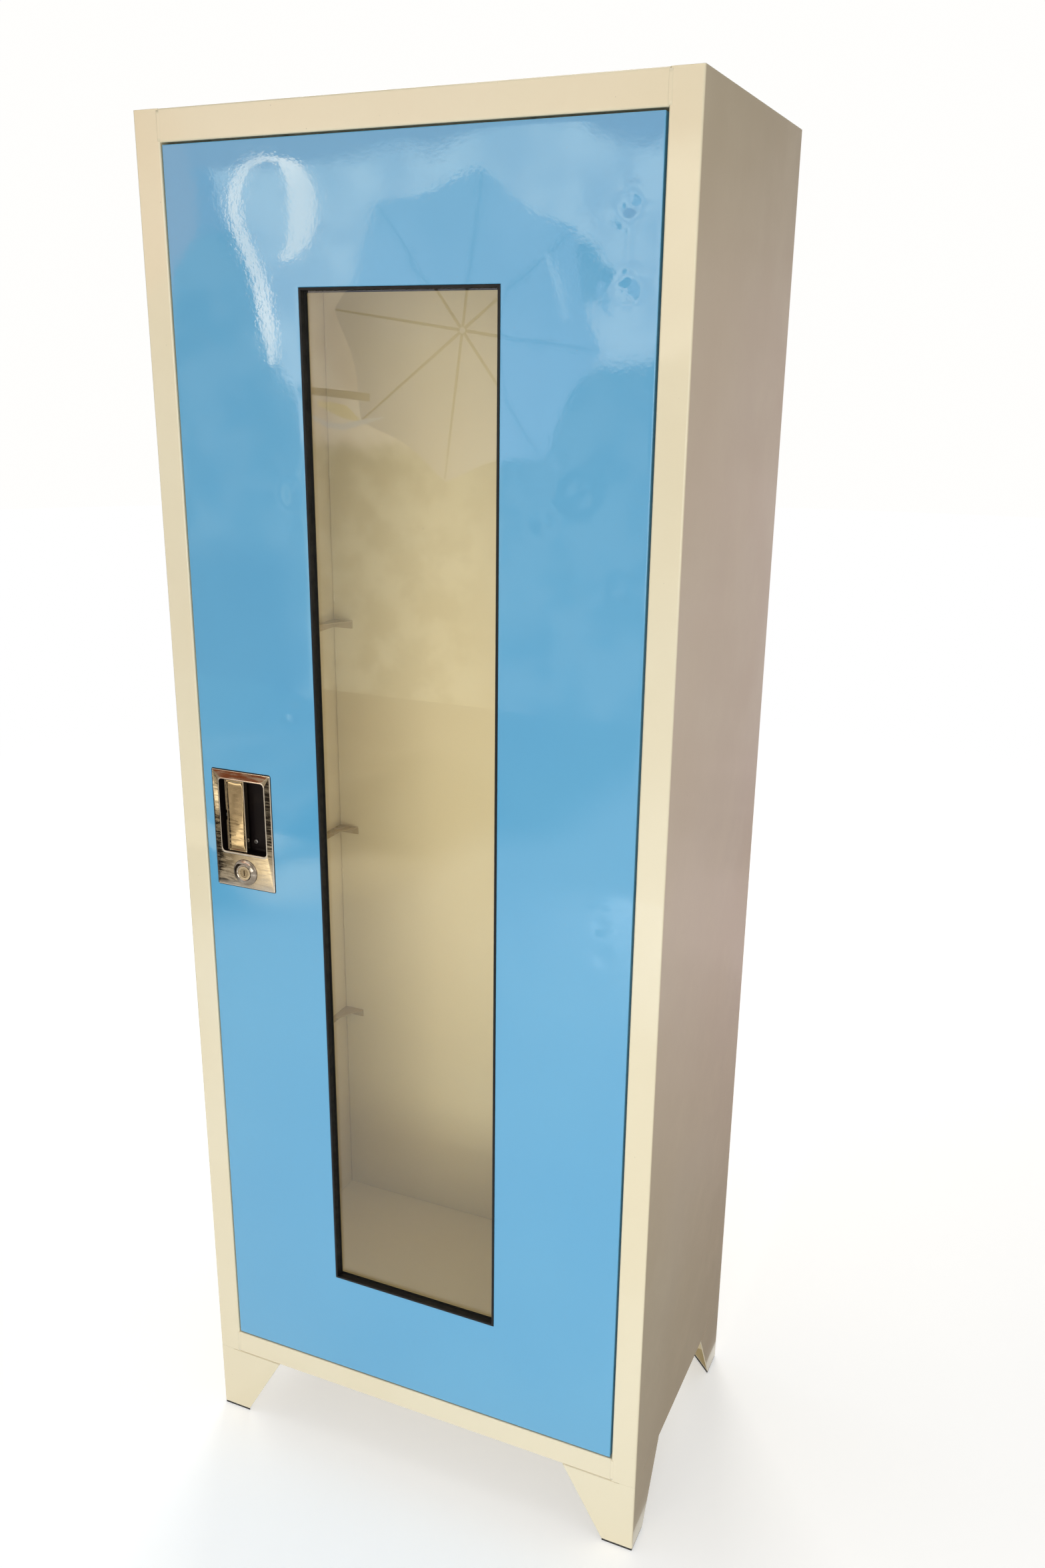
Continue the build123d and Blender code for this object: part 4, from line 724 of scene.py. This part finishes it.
FLAP_ROLL = 3.0  # radius of the rolled edge
FLAP_SHEET = 1.5
FLAP_RIM = 2.2  # flat rim round the dished face
RIM_FALL = 0.7  # from that rim into the dish
FLAP_AXIS = Vector((FLAP_LOW.x + FLAP_ROLL, FLAP_LOW.y + FLAP_ROLL, 0))
SPRING_ROOM = 14.0


def flap_section(rise, height):
    """The flap's outline in x and y at a height above its lower end."""
    left, right, front, back = FLAP_AXIS.x, FLAP_HIGH.x, FLAP_LOW.y, FLAP_HIGH.y
    dish_left, dish_right = left + FLAP_RIM, right - FLAP_RIM
    inner = right - FLAP_SHEET
    inside = fade(min(rise, height - rise) - FLAP_RIM + 0.1, 0.8)
    end = 0.25 - min(rise, height - rise, 0.25)
    hollow = 0.10 + 0.12 * math.sin(math.pi * rise / height)
    section = [(left, front + FLAP_SHEET), (left, front + end)]
    section += [(dish_left - 0.3, front + end), (dish_left, front + 0.08 + 0.2 * inside)]
    for step in range(1, 12):
        share = step / 12
        dip = inside * (0.25 + hollow * math.sin(math.pi * share))
        section.append((dish_left + (dish_right - dish_left) * share, front + 0.05 + dip))
    section += [(dish_right, front + 0.08 + 0.2 * inside), (dish_right + 0.3, front + end)]
    return section + [
        (right - 0.75, front + end), (right - 0.25, front + 0.22 + end), (right, front + 0.75),
        (right, back - 0.3), (right - 0.4, back), (inner + 0.3, back), (inner, back - 0.4),
        (inner, front + FLAP_SHEET + 0.9), (inner - 0.9, front + FLAP_SHEET),
    ]


def flap_face():
    """The flap's plate, dished inside a bright rim, with its grip edge turned back."""
    flap = bmesh.new()
    height = FLAP_HIGH.z - FLAP_LOW.z
    rises = [0.0, 0.25, FLAP_RIM, FLAP_RIM + RIM_FALL]
    half = height / 2 - FLAP_RIM - RIM_FALL
    rises += [FLAP_RIM + RIM_FALL + half * step / 8 for step in range(1, 9)]
    rises += [height - rise for rise in reversed(rises[:-1])]
    rings = []
    for rise in rises:
        z = FLAP_LOW.z + rise
        rings.append([flap.verts.new((x, y, z)) for x, y in flap_section(rise, height)])
    join(flap, rings, ends=True)
    dressed("flap_face", flap, FLAP, ["pull_flap"], "flap")


def flap_rolls():
    """The rolled edge round the pin, above and below the spring."""
    rolls = bmesh.new()
    middle = (SPRING_LOW.z + SPRING_HIGH.z) / 2
    spans = [
        (FLAP_LOW.z, middle - SPRING_ROOM / 2), (middle + SPRING_ROOM / 2, FLAP_HIGH.z)
    ]
    for low, high in spans:
        rounding = [(low, 2.7), (low + 0.3, FLAP_ROLL), (high - 0.3, FLAP_ROLL), (high, 2.7)]
        rings = [
            circle(rolls, 24, lambda cos, sin: FLAP_AXIS + Vector((radius * cos, radius * sin, z)))
            for z, radius in rounding
        ]
        join(rolls, rings, ends=True)
    dressed("flap_rolls", rolls, FLAP, ["pull_flap"], "flap")


def torsion_spring():
    """The coil round the flap's pin, with a leg to the flap and a leg to the cup's floor."""
    wire, coil, turns = 0.4, 2.1, 6
    low = SPRING_LOW.z + wire
    pitch = (SPRING_HIGH.z - SPRING_LOW.z - 2 * wire) / turns
    points = [Vector((SPRING_HIGH.x - wire, SPRING_HIGH.y - wire, low)),
              Vector((SPRING_HIGH.x - wire, FLAP_AXIS.y + 2.0, low)),
              Vector((SPRING_HIGH.x - 1.2, FLAP_AXIS.y + coil, low))]
    for step in range(20 * turns + 1):
        turn = math.pi / 2 + 2 * math.pi * step / 20
        points.append(Vector((
            FLAP_AXIS.x + coil * math.cos(turn), FLAP_AXIS.y + coil * math.sin(turn),
            low + pitch * step / 20,
        )))
    points.append(Vector((SPRING_HIGH.x - 2.0, FLAP_AXIS.y + coil, SPRING_HIGH.z - wire)))
    spring = bmesh.new()
    tube(spring, points, [(wire, wire)] * len(points))
    outward(spring)
    piece("torsion_spring", spring, ZINC, "door", ["flap_spring"])


BEZEL_R, BEZEL_LIP_R, BEZEL_BORE_R = 18.25, 12.0, 9.55


def lock_bezel():
    """The turned ring round the key plug: foot, hollow flank, bright lip, sunk inner face."""
    ring = bmesh.new()
    middle = (RING_LOW + RING_HIGH) / 2
    proud = PLATE_FRONT - RING_LOW.y
    profile = [(BEZEL_R - 0.8, -0.3), (BEZEL_R, -0.3), (BEZEL_R, 1.0), (BEZEL_R - 0.25, 1.5),
               (BEZEL_R - 0.7, 1.75)]
    for step in range(1, 9):
        share = step / 9
        fall = (BEZEL_R - 0.7 - BEZEL_LIP_R) * share
        profile.append((BEZEL_R - 0.7 - fall, 1.75 + (proud - 2.25) * share ** 1.5))
    profile += [(BEZEL_LIP_R, proud - 0.3), (BEZEL_LIP_R - 0.35, proud - 0.05),
                (BEZEL_LIP_R - 0.8, proud), (BEZEL_LIP_R - 1.2, proud - 0.1),
                (BEZEL_LIP_R - 1.5, proud - 0.5), (BEZEL_BORE_R + 0.3, proud - 0.6),
                (BEZEL_BORE_R, proud - 0.8), (BEZEL_BORE_R, -0.3)]
    loops = [
        circle(ring, 64, lambda cos, sin: (
            middle.x + radius * cos, PLATE_FRONT - rise, middle.z + radius * sin
        ))
        for radius, rise in profile
    ]
    join(ring, loops, closed=True)
    # The ring takes the dark plating, which is a painted reflection.
    dressed("lock_bezel", ring, BEZEL_PAINTED_REFLECTION, ["cylinder_ring"])


handle_plate()
lock_bezel()
handle_cup()
plate_gasket()
glass_tape()
flap_face()
flap_rolls()
torsion_spring()


# --- screws
THREAD_PITCH = 0.7
THREAD_ROOT = 0.84  # root's radius over the crest's


def solids(node):
    """The box of each separate solid in a CAD node, in millimetres."""
    copy = bmesh.new()
    copy.from_mesh(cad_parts[node].data)
    bmesh.ops.remove_doubles(copy, verts=copy.verts, dist=1e-6)
    left, found = set(copy.verts), []
    while left:
        group = [left.pop()]
        for vert in group:
            joined = {edge.other_vert(vert) for edge in vert.link_edges} & left
            left -= joined
            group += joined
        found.append([
            Vector([choose(vert.co[axis] * METRE for vert in group) for axis in range(3)])
            for choose in (min, max)
        ])
    copy.free()
    return sorted(found, key=lambda limits: tuple(limits[0]))


def screw_blank(head_r, head, shank_r, length):
    """A pan head and a threaded shank, standing on the origin along +Z."""
    body = bmesh.new()
    shank = [(shank_r, 0.0)]
    for step in range(int(length / THREAD_PITCH)):
        depth = -THREAD_PITCH * step
        shank += [(shank_r, depth - 0.1), (THREAD_ROOT * shank_r, depth - 0.4)]
    shank += [(shank_r * 0.9, -length + 0.2), (shank_r * 0.6, -length)]
    pan = [(head_r, 0.0), (head_r, 0.25 * head)]
    for step in range(1, 7):
        turn = math.pi / 2 * step / 7
        pan.append((
            head_r * (0.45 + 0.55 * math.cos(turn)), head * (0.25 + 0.75 * math.sin(turn))
        ))
    pan.append((0.3 * head_r, head))
    rings = [
        circle(body, 24, lambda cos, sin: (radius * cos, radius * sin, z))
        for radius, z in shank[::-1] + pan
    ]
    join(body, rings, ends=True)
    outward(body)
    return new_thing("screw_blank", body)


def screw_cutter(head_r, head):
    """The cross that is cut into the head, narrower at its floor."""
    cutter = bmesh.new()
    arm, wide, deep = 0.56 * head_r, 0.13 * head_r, 0.55 * head
    for across, along in ((arm, wide), (wide, arm)):
        top, floor = [
            [cutter.verts.new((x * across * share, y * along * share, z))
             for x, y in ((-1, -1), (1, -1), (1, 1), (-1, 1))]
            for z, share in ((head + 1.0, 1.0), (head - deep, 0.6))
        ]
        join(cutter, [top, floor], ends=True)
    outward(cutter)
    return new_thing("screw_cutter", cutter)


def cross_screw(head_r, head, shank_r, length):
    """The mesh of a screw with a cross recess."""
    blank = screw_blank(head_r, head, shank_r, length)
    cutter = screw_cutter(head_r, head)
    modifier(
        blank, "BOOLEAN", operation="DIFFERENCE", object=cutter, solver="EXACT", use_self=True
    )
    graph = bpy.context.evaluated_depsgraph_get()
    cut = bpy.data.meshes.new_from_object(blank.evaluated_get(graph))
    for thing in (blank, cutter):
        bpy.data.objects.remove(thing)
    return cut


def dressed_screws(holder, kind, head, shank_r, faces_back, body, material):
    """Puts a screw with a cross recess in the place of each plain one of a CAD node."""
    together = bmesh.new()
    template = None
    for number, (low, high) in enumerate(solids(holder + kind)):
        if template is None:
            deep = high.y - low.y
            template = cross_screw((high.x - low.x) / 2, head, shank_r, deep - head)
        before = set(together.verts)
        together.from_mesh(template)
        fresh = [vert for vert in together.verts if vert not in before]
        spin = math.radians(37 + 71 * number)
        cos, sin = math.cos(spin), math.sin(spin)
        seat = high.y - head if faces_back else low.y + head
        way = 1 if faces_back else -1
        for vert in fresh:
            x, y = vert.co.x * cos - vert.co.y * sin, vert.co.x * sin + vert.co.y * cos
            vert.co = Vector((
                (low.x + high.x) / 2 + way * x, seat + way * vert.co.z, (low.z + high.z) / 2 + y
            ))
    dressed(holder + "_cross" + kind, together, material, [holder + kind], body)


dressed_screws("housing", "_screw", 2.2, 2.0, False, "door", STEEL)
dressed_screws("retainer", "_screws", 2.0, 1.5, True, "door", ZINC)
dressed_screws("hinge", "_screws", 2.5, 2.0, True, "carcass", ZINC)


# --- welds
STITCH_PITCH = 92.0
STITCH_IN = 1.9  # from the carcass's side to the middle of a stitch weld
STITCH_ACROSS, STITCH_PROUD = 2.2, 1.6
LUMPS = 0.35


def rail_welds():
    """Welds ground flush, which fill the folds beside the ends of the two rails."""
    fillers = bmesh.new()
    low_rail = (SIDE_LOW.z + 1.5, DOOR_MIDDLE - JOINT_RISE - 1.5)
    top_rail = (DOOR_MIDDLE + JOINT_RISE + 1.5, TOP_HIGH.z - 1.8)
    for low, high in (low_rail, top_rail):
        for side in (-1, 1):
            rows = []
            for step in range(9):
                z = low + (high - low) * step / 8
                wander = 0.4 * noise.noise(Vector((step * 0.7, side * 3.1, low)))
                section = ((-1.2 + wander, 1.2), (-1.2 + wander, 0.0), (-0.6, -0.03),
                           (2.4, -0.03), (3.0 + wander, 0.0), (3.0 + wander, 0.6))
                rows.append([
                    fillers.verts.new((side * (JOINT_X + across), FACE + back, z))
                    for across, back in section
                ])
            join(fillers, rows, ends=True)
    outward(fillers)
    piece("rail_welds", fillers, CREAM, "carcass")


def weld_bead(mesh, start, end, number):
    """A lumpy painted weld bead from one point to another."""
    count = max(6, int((end - start).length / 1.6))
    points, radii = [], []
    for step in range(count + 1):
        share = step / count
        taper = math.sqrt(max(0.02, math.sin(math.pi * share)))
        ripple = 1 + LUMPS * noise.noise(Vector((step * 0.53, number * 7.3, 1.9)))
        points.append(start.lerp(end, share))
        radii.append((STITCH_ACROSS * taper * ripple, STITCH_PROUD * taper * ripple))
    tube(mesh, points, radii)


def stitch_welds():
    """Short beads where the back meets the sides."""
    beads = bmesh.new()
    z, number = BACK_LOW.z + 80.0, 0
    while z < BACK_HIGH.z - 60.0:
        rise = Vector((0, 0, 26.0 + 22.0 * noise.noise(Vector((number * 1.7, 3.3, 0.4)))))
        for place, side in enumerate((-1, 1)):
            start = Vector((side * (BACK_HIGH.x - STITCH_IN), BACK_LOW.y + 0.8, z))
            weld_bead(beads, start, start + rise, 2 * number + place)
        z += STITCH_PITCH
        number += 1
    outward(beads)
    piece("stitch_welds", beads, CREAM, "carcass")


rail_welds()
stitch_welds()


# --- studio materials
FLOOR_NEAR, FLOOR_FAR = 1.6, 4.5  # the floor pales to the backdrop between these
FLOOR_RADIUS = 14.0
FLOOR_GLOW = 0.42  # what the backdrop adds to the floor for the camera
SKY_LIGHT = 0.42  # the sky's strength as a light; seen, it is 1


def studio_floor():
    """A pale floor that keeps the locker's shadow and runs out into the white backdrop."""
    t = Tree("studio_floor")
    tone = t.mix(t.noise(1.7, 3.0), (0.80, 0.80, 0.79), (0.84, 0.84, 0.83))
    shown = t.shown()
    pale = t.principled(
        Base_Color=tone, Roughness=0.75, IOR=1.4, Emission_Color=(1.0, 1.0, 1.0),
        Emission_Strength=t.product(shown, FLOOR_GLOW),
    )
    away = t.ramp(t.away(0.0, 0.0, 0.0), FLOOR_NEAR, FLOOR_FAR)
    t.surface(pale, t.glow((1.0, 1.0, 1.0)), t.product(away, shown))
    sheet = bmesh.new()
    bmesh.ops.create_circle(sheet, cap_ends=True, radius=FLOOR_RADIUS, segments=96)
    floor = new_thing("studio_floor", sheet, t.made)


def studio_world():
    """A pale room, shown to the camera, metal and glass, and half as strong as a light."""
    t = Tree("studio", bpy.data.worlds)
    strength = t.ramp(t.shown(), 0.0, 1.0, SKY_LIGHT, 1.0)
    sky = t.shader("Background", Color=(1.0, 0.995, 0.98), Strength=strength)
    t.add("OutputWorld", {"Surface": sky})
    bpy.context.scene.world = t.made


def glowing_card(t, tone, solid=1.0):
    """Finishes a card's material: it glows with tone, and is clear where solid is 0."""
    return t.surface(t.shader("BsdfTransparent"), t.glow(tone), solid)


def card_material(name, dark, light, low, high, scale):
    """A softly mottled card that glows a little."""
    t = Tree(name)
    return t.surface(t.glow(t.mottled(dark, light, scale, 3.0, 0.5, low, high)))


def flat_material(name, tone):
    """A plain glow, a little uneven."""
    return card_material(name, scaled(tone, 0.8), tone, 0.35, 0.65, 2.0)


def ground_material():
    """Gold floor with two bright patches, dark to the left and far off: the handle mirrors it."""
    t = Tree("ground_card")
    parts = t.parts()
    wander = t.sway(0.25, 2.6, 2.0)
    x, y = t.total(parts["X"], wander), t.total(parts["Y"], wander)
    right = t.ramp(t.total(x, t.product(y, -1.175)), -0.55, -0.42)
    far_right = t.patch((x, 0.06, 0.20), (y, 0.26, 0.12))
    gold = t.mottled((0.42, 0.35, 0.24), (0.66, 0.57, 0.42), 4.0, 2.0, 0.5, 0.35, 0.65)
    lit = t.product(right, t.maths("SUBTRACT", 1.0, far_right))
    tone = t.mix(lit, (0.03, 0.025, 0.02), gold)
    bright = (2.0, 1.75, 1.25)
    near = t.ramp(t.total(t.away(0.58, 0.52, 0.0), wander), 0.34, 0.12)
    tone = t.mix(near, tone, bright)
    strip = t.patch((parts["Y"], 0.205, 0.23), (parts["Y"], 0.44, 0.40), (parts["X"], 0.36, 0.10))
    tone = t.mix(strip, tone, bright)
    return glowing_card(t, tone, t.ramp(t.away(-0.25, 0.05, 0.0), 1.22, 0.88))


def soft_shadow(name, tone, solid_to, clear_from):
    """A dim card that fades out towards its edges, from one distance each way to another."""
    t = Tree(name)
    parts = t.parts()
    sizes = [t.size(parts[axis]) for axis in "XY"]
    uneven = t.mix(t.noise(1.5, 3.0), tone, scaled(tone, 1.6))
    return glowing_card(t, uneven, t.patch(*zip(sizes, clear_from, solid_to)))


def shade_material(name, from_y, to_y):
    """Rosy shade for the side to mirror: dim overhead, and near the locker on the floor."""
    t = Tree(name)
    rosy = t.mottled((0.40, 0.27, 0.31), (0.52, 0.37, 0.41), 1.4)
    share = t.ramp(t.parts()["Y"], from_y, to_y)
    return glowing_card(t, t.mix(share, (0.12, 0.075, 0.08), rosy))


def backdrop_material():
    """A dim room with lit walls round the umbrella, which the top of the door mirrors."""
    t = Tree("backdrop_card")
    parts = t.parts()
    wander = t.total(t.sway(0.16, 2.4, 3.0, 0.5), t.sway(0.06, 20.0, 3.0, 0.6))
    x, z = t.total(parts["X"], wander), t.total(parts["Y"], wander)

    def slanted(value, other, slope):
        """A value that is the same along a slanted line."""
        return t.total(value, t.product(other, slope))

    def behind(value, *bump):
        """A value less a bump."""
        return t.maths("SUBTRACT", value, t.product(*bump))

    beside_lamp = t.patch((slanted(x, z, 0.39), -0.37, -0.30), (x, 0.50, 0.30), (z, -0.26, -0.14))
    over = t.patch((x, -0.52, -0.44), (z, 0.60, 0.68))
    past_notch = behind(x, t.patch((z, 0.22, 0.46), (z, 0.70, 0.50)), 0.16)
    far_right = t.patch((past_notch, 1.00, 1.06), (slanted(z, x, -0.16), -0.10, -0.03))
    lit = t.maths("MAXIMUM", beside_lamp, over, far_right)
    wall = t.mottled((2.6, 2.25, 2.1), (3.7, 3.4, 3.0), 3.2, 3.0, 0.55, 0.36, 0.62)
    dim = t.mottled((0.5, 0.45, 0.4), (0.95, 0.9, 0.8), 3.0, 4.0, 0.6)
    things = t.mottled((0.8, 0.8, 0.6), (1.7, 1.7, 1.3), 5.0, 4.0, 0.6)
    amid = t.patch((x, -0.35, -0.15), (x, 0.75, 0.55), (z, 0.1, -0.1))
    low_left = t.patch((x, -0.25, -0.45), (z, -0.60, -0.85))
    haze = t.patch((x, -0.45, -0.55), (z, 0.66, 0.76))
    over_crest = behind(z, t.patch((x, 0.40, 0.85), (x, 1.32, 1.0)), 0.10)
    eaves = t.ramp(over_crest, 0.93, 1.02)
    corner = t.patch((slanted(x, z, 0.19), -0.61, -0.66), (slanted(z, x, -0.83), 1.31, 1.41))
    tone = t.mix(amid, dim, things)
    for share, over_it in (
        (low_left, (0.30, 0.10, 0.05)), (haze, (1.1, 0.75, 0.85)), (lit, wall),
        (eaves, (1.5, 0.75, 0.6)), (corner, (1.9, 0.95, 0.65)),
    ):
        tone = t.mix(share, tone, over_it)
    return glowing_card(t, tone)


# --- things in the studio
WALL_Y = -4.4
UMBRELLA_TURN = 0.14  # how far the umbrella is turned, in radians
UMBRELLA_SAG = 0.13  # how far its cloth's edge sags between two ribs
RIB_WIDTHS = ((0.02, 0.014), (0.5, 0.012), (0.98, 0.008))  # at shares of a rib's length
RING_PLACE = (-2.875, 2.195)  # the ring lamp's middle, in x and z
RING_ACROSS, RING_UP = 0.172, 0.215
RING_FROM, RING_TURN, RING_STEPS = -78, 293, 32  # in degrees

# The tail of light under the ring lamp, and what is lit beside it: how far each stands before the
# wall, its glow, and its points in x and z with the width at each.
RING_TAIL = [(-2.965, 1.95, 0.065), (-2.932, 1.82, 0.065), (-2.92, 1.68, 0.07),
             (-2.908, 1.53, 0.025)]
WALL_LIGHTS = {
    "side_streak": (0.04, (3.4, 3.3, 3.2), [
        (-1.54, 1.98, 0.015), (-1.48, 1.86, 0.035), (-1.44, 1.72, 0.02)]),
    "wall_bar": (0.04, (0.9, 0.75, 0.6), [(-2.76, 1.425, 0.035), (-2.39, 1.395, 0.035)]),
    "lit_tray": (0.04, (2.6, 3.0, 3.5), [
        (-2.74, 1.325, 0.01), (-2.63, 1.275, 0.025), (-2.54, 1.262, 0.03), (-2.42, 1.29, 0.022),
        (-2.32, 1.31, 0.006)]),
    "lit_cloth": (0.03, (3.6, 3.1, 1.7), [
        (-2.67, 1.365, 0.02), (-2.60, 1.35, 0.045), (-2.53, 1.33, 0.06), (-2.45, 1.29, 0.012)]),
}


def studio_thing(name, mesh_source, material):
    """Something in the studio that only gloss sees: it lights nothing and no camera shows it."""
    thing = new_thing(name, mesh_source, material)
    for rays in ("camera", "diffuse", "shadow", "transmission"):
        setattr(thing, "visible_" + rays, False)
    return thing


def card(name, place, turn, width, height, material):
    """A flat card, turned by degrees about each axis."""
    sheet = bmesh.new()
    corners = [(-width / 2, -height / 2), (width / 2, -height / 2), (width / 2, height / 2),
               (-width / 2, height / 2)]
    sheet.faces.new([sheet.verts.new((x, y, 0)) for x, y in corners])
    thing = studio_thing(name, sheet, material)
    thing.location = place
    thing.rotation_euler = [math.radians(angle) for angle in turn]


def ribbon(name, points, y, material):
    """A glowing strip on a wall at y, along points in x and z, with its width at each."""
    strip = bmesh.new()
    sides = []
    for index, (x, z, width) in enumerate(points):
        x0, z0, _ = points[max(index - 1, 0)]
        x1, z1, _ = points[min(index + 1, len(points) - 1)]
        half = width / math.hypot(x1 - x0, z1 - z0) / 2
        sides.append([
            strip.verts.new((x + way * (z0 - z1) * half, y, z + way * (x1 - x0) * half))
            for way in (-1, 1)
        ])
    for here, after in zip(sides, sides[1:]):
        strip.faces.new([here[0], after[0], after[1], here[1]])
    studio_thing(name, strip, material)


def umbrella(x, y, z, radius, panels=8, steps=8):
    """A photographer's umbrella seen from in front: sagging panels between its ribs."""
    rib = flat_material("umbrella_rib", (0.55, 0.50, 0.42))
    cloth = bmesh.new()
    hub = cloth.verts.new((x, y, z))
    rim = []
    for step in range(panels * steps):
        turn = 2 * math.pi * step / (panels * steps) - UMBRELLA_TURN
        reach = radius * (1 - UMBRELLA_SAG * math.sin(math.pi * (step % steps) / steps))
        rim.append(cloth.verts.new((x + reach * math.cos(turn), y, z + reach * math.sin(turn))))
    for index, vert in enumerate(rim):
        cloth.faces.new([hub, vert, rim[(index + 1) % len(rim)]])
    studio_thing("umbrella", cloth, flat_material("umbrella", (1.9, 1.9, 2.1)))
    for panel in range(panels):
        turn = 2 * math.pi * panel / panels - UMBRELLA_TURN
        points = [
            (x + radius * share * math.cos(turn), z + radius * share * math.sin(turn), width)
            for share, width in RIB_WIDTHS
        ]
        ribbon(f"umbrella_rib_{panel}", points, y + 0.01, rib)


def ring_lamp(y):
    """A lamp's bright crescent and its streak down the wall."""
    points = []
    for step in range(RING_STEPS + 1):
        turn = math.radians(RING_FROM + RING_TURN * step / RING_STEPS)
        thin = 0.028 + 0.032 * fade(turn - 1.6, 1.4)
        points.append((
            RING_PLACE[0] + RING_ACROSS * math.cos(turn), RING_PLACE[1] + RING_UP * math.sin(turn),
            max(thin, 0.17 * math.cos(1.1 * turn)) if turn < 1.6 else thin,
        ))
    ribbon("ring_lamp", points + RING_TAIL, y, flat_material("ring_lamp", (8.9, 7.2, 5.2)))


def softbox(name, place, target, width, height, power, tint, hidden=False):
    """A rectangular lamp aimed at a target. A hidden one only lights."""
    data = bpy.data.lights.new(name, "AREA")
    data.shape = "RECTANGLE"
    data.size, data.size_y = width, height
    data.energy = power
    data.color = tint
    lamp = bpy.data.objects.new(name, data)
    lamp.location = place
    lamp.rotation_euler = (Vector(target) - Vector(place)).to_track_quat("-Z", "Y").to_euler()
    bpy.context.scene.collection.objects.link(lamp)
    if hidden:
        lamp.visible_camera = lamp.visible_glossy = lamp.visible_transmission = False


MIDDLE = (0.0, 0.0, 0.85)
INSIDE_Y = (FACE + 62) / METRE  # just behind the door's stiffeners
studio_floor()
studio_world()
softbox("key_softbox", (1.5, -5.0, 1.4), MIDDLE, 2.2, 2.0, 62, (1.0, 0.985, 0.96))
softbox("low_fill", (0.45, -2.3, 0.20), (0.0, 0.0, 0.28), 1.9, 0.5, 21, (0.82, 0.91, 1.0), True)
softbox("top_softbox", (-0.8, -0.2, 4.4), MIDDLE, 2.0, 2.0, 22, (1.0, 1.0, 1.0))
softbox("rear_softbox", (-1.8, 4.2, 2.6), MIDDLE, 2.0, 2.0, 80, (1.0, 0.99, 0.97))
softbox("inside_fill", (0.06, INSIDE_Y, 0.96), (-0.60, 1.0, 0.96), 0.09, 0.92, 0.74,
        (1.0, 0.97, 0.90), True)

SHADOW = card_material("shadow_card", (0.03, 0.025, 0.02), (0.07, 0.055, 0.04), 0.4, 0.6, 1.5)
card("shade_card", (2.3, 2.9, 1.5), (90, 0, -38), 3.4, 3.0,
     shade_material("shade_card", 1.2, -0.4))
card("side_floor_card", (1.56, 1.7, 0.004), (0, 0, 0), 2.43, 4.4,
     shade_material("side_floor_card", -1.6, 0.0))
card("ground_card", (-1.9, -2.7, 0.004), (0, 0, 0), 3.0, 2.6, ground_material())
card("left_floor_card", (-2.2, -0.1, 0.006), (0, 0, 0), 2.4, 3.4,
     soft_shadow("left_floor_card", (0.06, 0.05, 0.04), (0.3, 0.6), (1.2, 1.7)))
card("far_floor_card", (-2.6, -3.7, 0.002), (0, 0, 0), 3.8, 2.2,
     soft_shadow("far_floor_card", (0.30, 0.26, 0.21), (1.6, 0.7), (1.9, 1.1)))
card("left_wall_card", (-2.6, -0.2, 1.3), (90, 0, 90), 2.6, 2.6, SHADOW)
card("ceiling_card", (-1.7, -0.9, 3.2), (0, 0, 0), 2.2, 2.6, SHADOW)
card("backdrop_card", (-2.5, WALL_Y, 1.4), (90, 0, 0), 3.6, 2.8, backdrop_material())
umbrella(-1.93, WALL_Y + 0.02, 1.68, 0.65)
ring_lamp(WALL_Y + 0.04)
for name, (ahead, tone, points) in WALL_LIGHTS.items():
    ribbon(name, points, WALL_Y + ahead, flat_material(name, tone))


# --- camera
CAMERA_YAW, CAMERA_PITCH, CAMERA_ROLL = [math.radians(turn) for turn in (24.31, -18.70, 0.34)]
camera_data = bpy.data.cameras.new("photo_camera")
camera_data.sensor_width = 36.0
camera_data.lens = 30.834
camera_data.shift_x, camera_data.shift_y = 0.01805, 0.01889
camera = bpy.data.objects.new("photo_camera", camera_data)
camera.location = (0.74867, -1.59753, 1.56291)
camera.rotation_euler = (math.pi / 2 + CAMERA_PITCH, 0.0, CAMERA_YAW)
camera.rotation_euler.rotate_axis("Z", CAMERA_ROLL)
bpy.context.scene.collection.objects.link(camera)
bpy.context.scene.camera = camera
bpy.context.scene.view_settings.view_transform = "Standard"
